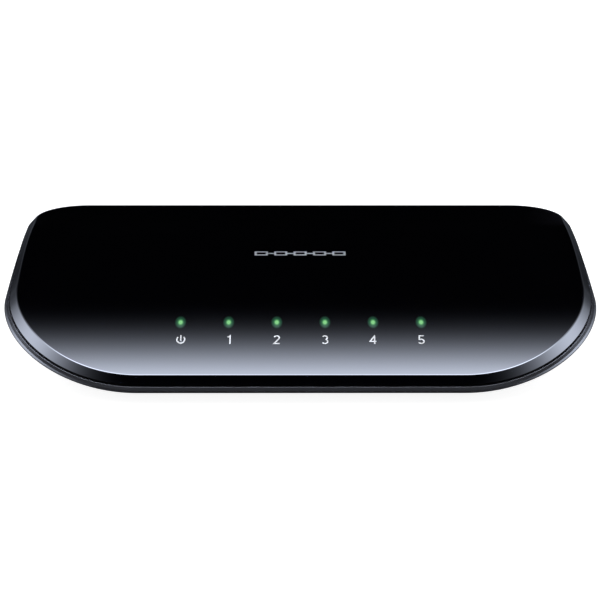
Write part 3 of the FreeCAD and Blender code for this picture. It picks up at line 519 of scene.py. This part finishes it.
# ---------------------------------------------------------------- curved shells

REAR_STEPS = 20
STRAIGHT_STEPS = 3
FALLING_STEPS = 56
CORNER_STEPS = 56
ACROSS_STEPS = 84


def outline_points(half, front, rear, front_radius, rear_radius, height_at):
    """Points of one side from the rear to the front, then mirrored: two equal lists."""
    corner_y = front + front_radius
    centre_x = half - rear_radius
    centre_y = rear - rear_radius
    points = []
    for step in range(REAR_STEPS + 1):
        angle = math.pi / 2 * (1 - step / REAR_STEPS)
        x = centre_x + rear_radius * math.cos(angle)
        y = centre_y + rear_radius * math.sin(angle)
        points.append((x, y, y))
    for step in range(1, STRAIGHT_STEPS + 1):
        y = centre_y + (BEND_START - centre_y) * step / STRAIGHT_STEPS
        points.append((half, y, y))
    for step in range(1, FALLING_STEPS + 1):
        y = BEND_START + (corner_y - BEND_START) * step / FALLING_STEPS
        points.append((half, y, y))
    for step in range(1, CORNER_STEPS + 1):
        angle = math.pi / 2 * step / CORNER_STEPS
        x = half - front_radius + front_radius * math.cos(angle)
        y = corner_y - front_radius * math.sin(angle)
        points.append((x, y, corner_y - FRONT_RADIUS * math.sin(angle)))
    right = [Vector((x, y, height_at(y, edge_y))) for x, y, edge_y in points]
    left = [Vector((-point.x, point.y, point.z)) for point in right]
    return right, left


def plate_points(offset, height_at, rear_radius=REAR_RADIUS):
    """Outline of the glossy plate, moved outwards by an offset."""
    return outline_points(PLATE_HALF + offset, -PLATE_REACH - offset, PLATE_REACH + offset,
                          FRONT_RADIUS + offset, rear_radius + offset, height_at)


def rim_points(offset, height_at, flare):
    """Outline of the rim: as the plate's, flared a little where the front corners begin."""
    right, left = plate_points(offset, height_at, RIM_REAR_RADIUS - RIM_STEP)
    corner_y = FRONT_RADIUS - PLATE_REACH
    for point, mirrored in zip(right, left):
        if point.y >= corner_y:
            along_side = (BEND_START - point.y) / (BEND_START - corner_y)
            share = min(1.0, max(0.0, along_side)) ** 2
        else:
            round_corner = (corner_y - point.y) / (FRONT_RADIUS + offset)
            share = max(0.0, 1.0 - round_corner ** 2)
        point.x += flare * share
        mirrored.x = -point.x
    return right, left


def edge_drop(drop):
    """Height rule: a drop below the plate's edge beside the point."""
    return lambda y, edge_y: top_height(edge_y) - drop


def surface_drop(drop):
    """Height rule: a drop below the top surface at the point itself."""
    return lambda y, edge_y: top_height(y) - drop


def at_level(height):
    """Height rule: one level all round."""
    return lambda y, edge_y: height


def edge_rounding(steps=7):
    """Loops of the small rounding between the top surface and the bevel band, from the top out."""
    bevel_angle = math.atan2(BEVEL_DOWN, BEVEL_OUT)
    loops = []
    for step in range(steps + 1):
        share = step / steps
        right, left = plate_points(0.0, edge_drop(0.0))
        outward, _ = plate_points(1.0, edge_drop(0.0))
        for index, point in enumerate(right):
            direction = (outward[index] - point)
            direction.z = 0
            lean = top_slope(point.y) * max(0.0, -direction.y)
            tangent = EDGE_RADIUS * math.tan((bevel_angle - lean) / 2)
            angle = lean + (bevel_angle - lean) * share
            outwards = (-tangent * math.cos(lean) - EDGE_RADIUS * math.sin(lean)
                        + EDGE_RADIUS * math.sin(angle))
            rise = (tangent * math.sin(lean) - EDGE_RADIUS * math.cos(lean)
                    + EDGE_RADIUS * math.cos(angle))
            moved = point + direction * outwards + Vector((0, 0, rise))
            right[index] = moved
            left[index] = Vector((-moved.x, moved.y, moved.z))
        loops.append((right, left))
    return loops


def inner_vertices(builder, start, finish):
    """Vertices between two points, evenly spaced, without the two ends."""
    return [builder.verts.new(start.lerp(finish, step / ACROSS_STEPS))
            for step in range(1, ACROSS_STEPS)]


def loop_vertices(builder, loop):
    """Vertices once round a loop, as rows: the two sides and the inner points of both ends."""
    right, left = loop
    side_right = [builder.verts.new(point) for point in right]
    side_left = [builder.verts.new(point) for point in left]
    ends = []
    for index in (0, -1):
        inner = inner_vertices(builder, left[index], right[index])
        ends.append([side_left[index]] + inner + [side_right[index]])
    return {"right": side_right, "left": side_left, "rear": ends[0], "front": ends[1]}


def strip(builder, first, second):
    """Faces between two equal rows of vertices."""
    for index in range(len(first) - 1):
        builder.faces.new((first[index], first[index + 1], second[index + 1], second[index]))


def deck(builder, loop):
    """Faces across a loop, in rows from side to side."""
    rows = [loop["rear"]]
    for left, right in zip(loop["left"][1:-1], loop["right"][1:-1]):
        rows.append([left] + inner_vertices(builder, left.co, right.co) + [right])
    rows.append(loop["front"])
    for first, second in zip(rows, rows[1:]):
        strip(builder, first, second)


def shell(name, loops):
    """Closed shell through loops in order, with a deck across the first and the last."""
    builder = bmesh.new()
    rings = [loop_vertices(builder, loop) for loop in loops]
    deck(builder, rings[0])
    deck(builder, rings[-1])
    for first, second in zip(rings, rings[1:]):
        for row in ("right", "left", "rear", "front"):
            strip(builder, first[row], second[row])
    return mesh_object(name, builder)


def rounded_section(points, radius_points):
    """Section corners in (out, drop) with some of them rounded by short arcs."""
    section = []
    for index, (out, drop) in enumerate(points):
        radius = radius_points.get(index)
        if radius is None:
            section.append((out, drop))
            continue
        here = Vector((out, drop))
        before = (Vector(points[index - 1]) - here).normalized()
        after = (Vector(points[index + 1]) - here).normalized()
        start = here + before * radius
        finish = here + after * radius
        for share in (0.0, 0.25, 0.5, 0.75, 1.0):
            section.append(tuple(
                (1 - share) ** 2 * start + 2 * share * (1 - share) * here + share ** 2 * finish))
    return section


# ---------------------------------------------------------------- cover and lower case

def make_cover():
    """Glossy cover with holes for the six light windows."""
    loops = edge_rounding()
    lip = rounded_section([(0.0, 0.0), (BEVEL_OUT, BEVEL_DOWN), (-LIP_IN, BEVEL_DOWN)],
                          {1: LIP_RADIUS})
    loops += [plate_points(out, edge_drop(drop)) for out, drop in lip[1:]]
    loops.append(plate_points(-DECK_IN, surface_drop(COVER_THICK)))
    cover = shell("cover", loops)
    holes = []
    for name in LIGHTS:
        centre = middle("light_guide_" + name)
        holes.append(disc_tool("hole_" + name, centre, HOLE_RADIUS, centre.z, TOP_Z, LIGHT_STRETCH))
    combine(cover, holes, "DIFFERENCE")
    smooth_by_angle(cover, 40)
    weighted_normals(cover)
    return finish_piece(cover, "gloss", replaced=["top_cover"])


def case_loops():
    """Loops of the lower case, from its inner floor over the tongue and rim down to the base."""
    rim = rounded_section(RIM_SECTION, RIM_ROUNDING)
    (tongue_out, tongue_drop), (ledge_out, ledge_drop) = rim[:2]
    loops = [
        outline_points(BASE_HALF - FLOOR_IN, BASE_FRONT + FLOOR_FRONT_IN, REAR_WALL - WALL_THICK,
                       BASE_FRONT_RADIUS - FLOOR_IN, BASE_REAR_RADIUS - FLOOR_IN,
                       at_level(BASE_Z + FLOOR_THICK)),
        plate_points(-TONGUE_IN, edge_drop(INNER_DROP)),
        plate_points(-TONGUE_IN, surface_drop(tongue_drop * MM)),
        plate_points(tongue_out * MM, surface_drop(tongue_drop * MM)),
        plate_points(ledge_out * MM, edge_drop(ledge_drop * MM)),
    ]
    for out, drop in rim[2:]:
        flare = max(0.0, drop - FLARE_FROM) * FLARE_RATE * MM
        loops.append(rim_points(out * MM, edge_drop(drop * MM), flare))
    loops.append(outline_points(PLATE_HALF + HULL_OUT, -PLATE_REACH - HULL_OUT, REAR_WALL,
                                FRONT_RADIUS + HULL_OUT, RIM_REAR_RADIUS - RIM_STEP + HULL_OUT,
                                edge_drop(HULL_DROP)))
    for share in (0.0, 0.3, 0.65, 1.0):
        angle = share * math.pi / 2
        out = BASE_CHAMFER * math.cos(angle)
        rise = BASE_CHAMFER * (1 - math.sin(angle))
        loops.append(outline_points(
            BASE_HALF + out, BASE_FRONT - out, REAR_WALL - BASE_CHAMFER + out,
            BASE_FRONT_RADIUS + out, BASE_REAR_RADIUS + out, at_level(BASE_Z + rise)))
    return loops


def flat_tool(name, low, high, low_z, high_z, radius, steps=6):
    """Upright slab tool between two places in plan and two levels."""
    return rounded_slab(name, Vector((low.x, low.y, low_z)), Vector((high.x, high.y, high_z)),
                        radius, steps)


def window_tool(name, node):
    """Tool through the rear wall, a gap larger than a CAD node in X and Z."""
    low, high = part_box(node)
    inside = REAR_WALL - WALL_THICK - OVERCUT
    corner_low = Vector((low.x - WINDOW_GAP, inside, low.z - WINDOW_GAP))
    corner_high = Vector((high.x + WINDOW_GAP, REAR_WALL + WINDOW_OVERCUT, high.z + WINDOW_GAP))
    return rounded_slab(name, corner_low, corner_high, WINDOW_CORNER, 2)


def post_tools(name, side, radius, low_z, high_z):
    """Round tools at the two case screws on one side."""
    return [disc_tool("%s_%d_%d" % (name, side, y > 0), Vector((side * POST_X, y, 0)), radius,
                      low_z, high_z)
            for y in POST_YS]


def case_tools():
    """Every opening and recess that shows on the lower case."""
    tools = [window_tool("port_window", "port_block"), window_tool("inlet_window", "inlet_housing")]
    low_z = BASE_Z - OVERCUT
    through = BASE_Z + FLOOR_THICK + OVERCUT
    for row, row_y in VENT_ROWS:
        for step in range(-VENTS_EACH_SIDE, VENTS_EACH_SIDE + 1):
            centre = Vector((step * VENT_PITCH, row_y, 0))
            tools.append(flat_tool("vent_%s_%d" % (row, step + VENTS_EACH_SIDE), centre - VENT_HALF,
                                   centre + VENT_HALF, low_z, through, VENT_CORNER))
    for side in (-1, 1):
        entry = Vector((side * KEY_X, KEY_Y, 0))
        slot = Vector((KEY_SLOT_HALF, KEY_SLOT_HALF, 0))
        far = entry + Vector((0, KEY_TRAVEL, 0))
        tools.append(disc_tool("key_entry_%d" % side, entry, KEY_RADIUS, low_z, through))
        tools.append(flat_tool("key_slot_%d" % side, entry - slot, far + slot, low_z, through,
                               KEY_SLOT_CORNER, 10))
        tools += post_tools("recess", side, RECESS_RADIUS, low_z, BASE_Z + RECESS_DEPTH)
    for foot in ("front_left", "front_right", "rear_left", "rear_right"):
        tools.append(disc_tool("seat_" + foot, middle("rubber_foot_" + foot), FOOT_SEAT_RADIUS,
                               low_z, BASE_Z + FOOT_SEAT_DEPTH))
    low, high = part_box("base_label")
    gap = Vector((LABEL_GAP, LABEL_GAP, 0))
    tools.append(flat_tool("label_seat", low - gap, high + gap, low_z, BASE_Z + LABEL_SEAT_DEPTH,
                           LABEL_CORNER))
    return tools


def make_case():
    """Satin lower case with its rim, hull, windows, vents, keyholes and recesses."""
    case = shell("lower_case", case_loops())
    posts = []
    for side in (-1, 1):
        posts += post_tools("post", side, POST_RADIUS, BASE_Z + POST_ROOT, POST_TOP)
    combine(case, posts, "UNION")
    combine(case, case_tools(), "DIFFERENCE")
    smooth_by_angle(case, 32)
    weighted_normals(case)
    return finish_piece(case, "case", replaced=["bottom_case"])


def softened(node, material, width, body=WHOLE):
    """Copy of a CAD node with its sharp edges rounded, which stands for the node."""
    piece = bpy.data.objects.new(node + "_detail", NODES[node].data.copy())
    bpy.context.scene.collection.objects.link(piece)
    builder = bmesh.new()
    builder.from_mesh(piece.data)
    bmesh.ops.remove_doubles(builder, verts=builder.verts, dist=0.002 * MM)
    bmesh.ops.dissolve_limit(builder, angle_limit=math.radians(0.6), verts=builder.verts,
                             edges=builder.edges)
    builder.to_mesh(piece.data)
    builder.free()
    stored_normals = piece.data.attributes.get("custom_normal")
    if stored_normals is not None:
        piece.data.attributes.remove(stored_normals)
    bevel = piece.modifiers.new("soft_edges", "BEVEL")
    bevel.width = width
    bevel.segments = 2
    bevel.limit_method = "ANGLE"
    bevel.angle_limit = math.radians(35)
    bevel.use_clamp_overlap = True
    bevel.harden_normals = False
    bpy.context.view_layer.update()
    apply_modifiers(piece)
    smooth_by_angle(piece, 38)
    weighted_normals(piece)
    return finish_piece(piece, material, body, [node])


# ---------------------------------------------------------------- lights and prints on the cover

def make_window(name):
    """Lit end of a light guide: a shallow dome in the cover's surface."""
    centre = middle("light_guide_" + name)
    slope = top_slope(centre.y)
    rings = 8
    around = 40
    builder = bmesh.new()
    stretch = LIGHT_STRETCH / math.cos(slope)
    tip = builder.verts.new((0, 0, DOME_HEIGHT))
    previous = None
    for ring in range(1, rings + 1):
        share = ring / rings
        radius = WINDOW_RADIUS * share
        height = DOME_HEIGHT * (1 - share ** 2)
        current = []
        for step in range(around):
            angle = 2 * math.pi * step / around
            current.append(builder.verts.new((radius * math.cos(angle),
                                              stretch * radius * math.sin(angle), height)))
        for step in range(around):
            following = (step + 1) % around
            if previous is None:
                builder.faces.new((tip, current[step], current[following]))
            else:
                builder.faces.new((previous[step], current[step], current[following],
                                   previous[following]))
        previous = current
    skirt = [builder.verts.new((rim.co.x, rim.co.y, -GUIDE_LENGTH)) for rim in previous]
    for step in range(around):
        following = (step + 1) % around
        builder.faces.new((previous[step], skirt[step], skirt[following], previous[following]))
    builder.faces.new(skirt)
    window = mesh_object("light_window_" + name, builder)
    smooth_by_angle(window, 50)
    place = Vector((centre.x, centre.y, top_height(centre.y) - DOME_SINK))
    window.matrix_world = Matrix.Translation(place) @ Matrix.Rotation(slope, 4, "X")
    return finish_piece(window, "light", replaced=["light_guide_" + name])


# Strokes of the numbers, in a field one unit high.
DIGITS = {
    "1": [[(0.1, 0.78), (0.31, 0.95), (0.31, 0.0)]],
    "2": [arc(0.27, 0.72, 0.22, 160, -32) + [(0.05, 0.05), (0.53, 0.05)]],
    "3": [arc(0.25, 0.73, 0.21, 150, -62) + arc(0.25, 0.28, 0.235, 65, -150)],
    "4": [[(0.41, 0.0), (0.41, 0.93), (0.03, 0.29), (0.56, 0.29)]],
    "5": [[(0.48, 0.94), (0.13, 0.94), (0.1, 0.52)] + arc(0.26, 0.3, 0.245, 118, -150)],
}


def ribbon(builder, points, width, stretch=1.0):
    """Band of even width along points in plan, cut into short lengths."""
    path = []
    for start, finish in zip(points, points[1:]):
        pieces = max(1, math.ceil(math.dist(start, finish) / RIBBON_STEP))
        path += [tuple(a + (b - a) * step / pieces for a, b in zip(start, finish))
                 for step in range(pieces)]
    path.append(points[-1])
    rows = ([], [])
    for index, here in enumerate(path):
        before = Vector(path[max(index - 1, 0)])
        after = Vector(path[min(index + 1, len(path) - 1)])
        here = Vector(here)
        ways = [way.normalized() for way in (here - before, after - here) if way.length > 0]
        normals = [Vector((-way.y, way.x)) for way in ways]
        across = (normals[0] + normals[-1]).normalized()
        across *= width / 2 / max(0.45, across.dot(normals[0]))
        for row, sign in zip(rows, (-1, 1)):
            corner = here + sign * across
            row.append(builder.verts.new((corner.x, corner.y * stretch, 0)))
    strip(builder, rows[0], rows[1])


def flat_mesh(name, builder):
    """Mesh of a mark that lies flat in plan."""
    mesh = bpy.data.meshes.new(name)
    builder.to_mesh(mesh)
    builder.free()
    return mesh


def stroke_mesh(name, strokes, height, width, centre):
    """Flat mesh of a mark drawn in strokes, its middle at a point in plan."""
    xs = [x for points in strokes for x, _ in points]
    middle_x = (min(xs) + max(xs)) / 2
    builder = bmesh.new()
    for points in strokes:
        placed = [((x - middle_x) * height, (y - 0.5) * height) for x, y in points]
        ribbon(builder, placed, width)
    bmesh.ops.translate(builder, verts=builder.verts, vec=centre)
    return flat_mesh(name, builder)


def on_top(point):
    """Place on the cover's top for a point of a mark drawn in plan."""
    return Vector((point.x, point.y, top_height(point.y) + INK_LIFT))


def on_rear(centre_x, centre_z):
    """Rule that stands a mark up on the rear wall, to be read from behind."""
    return lambda point: Vector((centre_x - point.x, REAR_WALL + INK_LIFT, centre_z + point.y))


def printed(name, mesh, material, placed=on_top):
    """Ink layer: a flat mesh laid on a surface and given a thickness."""
    builder = bmesh.new()
    builder.from_mesh(mesh)
    bmesh.ops.triangulate(builder, faces=builder.faces)
    for face in builder.faces:
        if face.normal.z < 0:
            face.normal_flip()
    builder.to_mesh(mesh)
    builder.free()
    for vertex in mesh.vertices:
        vertex.co = placed(vertex.co)
    piece = bpy.data.objects.new(name, mesh)
    bpy.context.scene.collection.objects.link(piece)
    layer = piece.modifiers.new("layer", "SOLIDIFY")
    layer.thickness = INK_THICK
    layer.offset = 0.0
    bpy.context.view_layer.update()
    apply_modifiers(piece)
    return finish_piece(piece, material)


def make_power_mark():
    """Open ring with a bar, the usual power mark, drawn out along the slope like the numbers."""
    centre = Vector((middle("light_guide_power").x + POWER_SHIFT, POWER_Y, 0))
    stretch = 1.27
    width = 0.38 * MM
    builder = bmesh.new()
    ring = [(x * MM, y * MM) for x, y in arc(0, 0, 1.06, 90 + 46, 450 - 46, 36)]
    ribbon(builder, ring, width, stretch)
    ribbon(builder, [(0, -0.38 * MM), (0, 1.3 * MM)], width, stretch)
    bmesh.ops.translate(builder, verts=builder.verts, vec=centre)
    return printed("power_mark", flat_mesh("power_mark", builder), "white_ink")


def make_digits():
    """Numbers 1 to 5 under their lights."""
    for name in LIGHTS[1:]:
        centre = middle("light_guide_" + name)
        mesh = stroke_mesh("number_" + name, DIGITS[name], NUMBER_HEIGHT, NUMBER_LINE,
                           (centre.x * NUMBER_SPREAD, NUMBER_Y, 0))
        printed("number_" + name, mesh, "white_ink")


def make_rear_numbers():
    """Small numbers under the sockets, read from behind."""
    for name in PORTS:
        centre = middle("contact_fingers_" + name)
        mesh = stroke_mesh("rear_number_" + name, DIGITS[name], REAR_NUMBER_HEIGHT,
                           REAR_NUMBER_LINE, (0, 0, 0))
        printed("rear_number_" + name, mesh, "grey_ink", on_rear(centre.x, REAR_NUMBER_Z))


def make_emblem():
    """Row of five socket outlines joined by a line, a generic mark in silver ink."""
    pitch = 5.6 * MM
    half_x = 1.9 * MM
    low_y = 2.3 * MM
    high_y = 4.9 * MM
    line = 0.58 * MM
    builder = bmesh.new()

    def bar(x0, y0, x1, y1):
        corners = ((x0, y0, 0), (x1, y0, 0), (x1, y1, 0), (x0, y1, 0))
        builder.faces.new([builder.verts.new(corner) for corner in corners])

    middle_y = (low_y + high_y) / 2
    for step in range(-2, 3):
        x = step * pitch
        bar(x - half_x, low_y, x + half_x, low_y + line)
        bar(x - half_x, low_y + line, x - half_x + line, high_y - line)
        bar(x + half_x - line, low_y + line, x + half_x, high_y - line)
        bar(x - half_x, high_y - line, x + half_x, high_y)
        if step < 2:
            bar(x + half_x, middle_y - line / 2, x + pitch - half_x, middle_y + line / 2)
    return printed("emblem", flat_mesh("emblem", builder), "silver_ink")


# ---------------------------------------------------------------- scene: floor, light, camera

def make_floor():
    """Wide pale floor, with a fine mottled finish."""
    builder = bmesh.new()
    size = 6.0
    corners = [(-size, -size, 0), (size, -size, 0), (size, size, 0), (-size, size, 0)]
    builder.faces.new([builder.verts.new(corner) for corner in corners])
    floor = mesh_object("floor", builder)
    material, tree, shader, vector = new_material("floor_pale")
    mottle = noise(tree, vector, 30.0)
    tree.links.new(blended(tree, mottle, (0.6, 0.6, 0.6), (0.62, 0.62, 0.62)),
                   shader.inputs["Base Color"])
    shader.inputs["Emission Color"].default_value = (1.0, 1.0, 1.0, 1.0)
    shader.inputs["Emission Strength"].default_value = 0.88
    shader.inputs["Roughness"].default_value = 0.9
    shader.inputs["Specular IOR Level"].default_value = 0.0
    floor.data.materials.append(material)
    floor.visible_glossy = False


def make_world():
    """Studio surroundings: plain and pale, with soft boxes that show only in reflections."""
    world = bpy.data.worlds.new("studio")
    bpy.context.scene.world = world
    world.use_nodes = True
    tree = world.node_tree
    tree.nodes.clear()
    output = tree.nodes.new("ShaderNodeOutputWorld")
    coordinates = tree.nodes.new("ShaderNodeTexCoord")
    parts = tree.nodes.new("ShaderNodeSeparateXYZ")
    tree.links.new(coordinates.outputs["Generated"], parts.inputs[0])

    def ramped(value, start, finish):
        return spread(tree, value, 0.0, 1.0, start, finish, smooth=True)

    def product(*factors):
        total = factors[0]
        for factor in factors[1:]:
            total = calc(tree, "MULTIPLY", total, factor)
        return total

    # forward: degrees from straight up towards the front; around: degrees from the side towards
    # the rear; away: the same as a share of the side box's width, for either half of it.
    x, y, z = parts.outputs
    beside = calc(tree, "ABSOLUTE", x)
    to_front = calc(tree, "MULTIPLY", y, -1.0)
    forward = calc(tree, "MULTIPLY", calc(tree, "ARCTAN2", to_front, z), math.degrees(1))
    bearing = calc(tree, "MULTIPLY", calc(tree, "ARCTAN2", y, beside), math.degrees(1))
    around = calc(tree, "SUBTRACT", bearing, 4.0)
    away = calc(tree, "MAXIMUM", calc(tree, "DIVIDE", around, 17.7),
                calc(tree, "DIVIDE", around, -19.9))
    bell = calc(tree, "EXPONENT", calc(tree, "MULTIPLY", calc(tree, "POWER", away, 2.0), -0.5))
    lights = [
        # box overhead, brightest just in front of straight up
        product(calc(tree, "POWER", ramped(forward, -49, -9), 6.0),
                spread(tree, forward, 19.8, 28.0, -14, 0, smooth=True),
                ramped(forward, 17, 7), ramped(beside, 0.45, 0.2)),
        # soft box on each side
        product(bell, ramped(z, 0.12, 0.36), 12.3),
        # weak glow behind on both sides, with a faint brighter line in it
        product(ramped(z, 0.25, 0.05), ramped(beside, 0.1, 0.25), 0.06),
        product(ramped(z, 0.3, 0.22), ramped(z, 0.04, 0.14), ramped(beside, 0.1, 0.2), 0.2),
        # pale table in front
        product(ramped(z, 0.0, -0.15), ramped(z, -0.65, -0.35), ramped(y, 0.1, -0.2), 1.0),
        # narrow box behind
        product(ramped(beside, 0.24, 0.12), ramped(y, 0.45, 0.75), ramped(z, 0.2, 0.05),
                ramped(z, -0.3, -0.15), 1.5),
    ]
    total = 0.0005
    for part in lights:
        total = calc(tree, "ADD", part, total)

    reflected = tree.nodes.new("ShaderNodeBackground")
    reflected.inputs["Color"].default_value = (0.76, 0.83, 1.0, 1.0)
    tree.links.new(total, reflected.inputs["Strength"])
    plain = tree.nodes.new("ShaderNodeBackground")
    plain.inputs["Strength"].default_value = 1.0
    path = tree.nodes.new("ShaderNodeLightPath")
    mix = tree.nodes.new("ShaderNodeMixShader")
    tree.links.new(path.outputs["Is Glossy Ray"], mix.inputs[0])
    tree.links.new(plain.outputs[0], mix.inputs[1])
    tree.links.new(reflected.outputs[0], mix.inputs[2])
    tree.links.new(mix.outputs[0], output.inputs["Surface"])
    world.cycles.sampling_method = "NONE"


def make_camera():
    """Camera at the front, 17 degrees above the table, with a long lens."""
    elevation = math.radians(17.231)
    yaw = math.radians(0.378)
    roll = Matrix.Rotation(math.radians(0.098), 3, "Z")
    distance = 0.648
    target = Vector((-0.05 * MM, -2.5 * MM, 13.91 * MM))
    forward = Vector((math.sin(yaw) * math.cos(elevation), math.cos(yaw) * math.cos(elevation),
                      -math.sin(elevation)))
    data = bpy.data.cameras.new("camera")
    data.sensor_width = 36.0
    data.lens = 135.29
    data.clip_start = 0.01
    data.clip_end = 50.0
    camera = bpy.data.objects.new("camera", data)
    camera.location = target - forward * distance
    camera.rotation_euler = (forward.to_track_quat("-Z", "Y").to_matrix() @ roll).to_euler()
    bpy.context.scene.collection.objects.link(camera)
    bpy.context.scene.camera = camera


# ---------------------------------------------------------------- assembly

make_floor()
make_world()
make_camera()
bpy.context.scene.view_settings.view_transform = "Standard"

make_cover()
make_case()
for light in LIGHTS:
    make_window(light)
make_power_mark()
make_digits()
make_rear_numbers()
make_emblem()

softened("port_block", "port", 0.18 * MM)
softened("inlet_housing", "port", 0.15 * MM)
softened("inlet_centre_pin", "nickel", 0.2 * MM)
for port in PORTS:
    softened("contact_fingers_" + port, "gold", 0.05 * MM, body="port_%s_contacts" % port)

# Material of each CAD node, by the start of its name; the other components are dark epoxy.
NODE_MATERIALS = {
    "top_cover": "gloss", "bottom_case": "case", "light_guide": "guide", "led_": "lens",
    "rubber_foot": "rubber", "base_label": "label", "case_screws": "steel", "board_screws": "steel",
    "circuit_board": "board", "port_block": "port", "contact_leads": "gold",
    "contact_fingers": "gold", "inlet_housing": "port", "inlet_centre": "nickel",
    "inlet_spring_leaf": "nickel", "inlet_terminals": "nickel", "thermal_pad": "pad",
    "heat_sink": "sink", "crystal": "steel", "chip_resistors": "ceramic",
    "chip_capacitors": "ceramic",
}
for name, node in NODES.items():
    keys = [key for prefix, key in NODE_MATERIALS.items() if name.startswith(prefix)]
    if not keys:
        keys = ["can" if "capacitor" in name else "epoxy"]
    node.data.materials.clear()
    node.data.materials.append(MATERIALS[keys[0]])
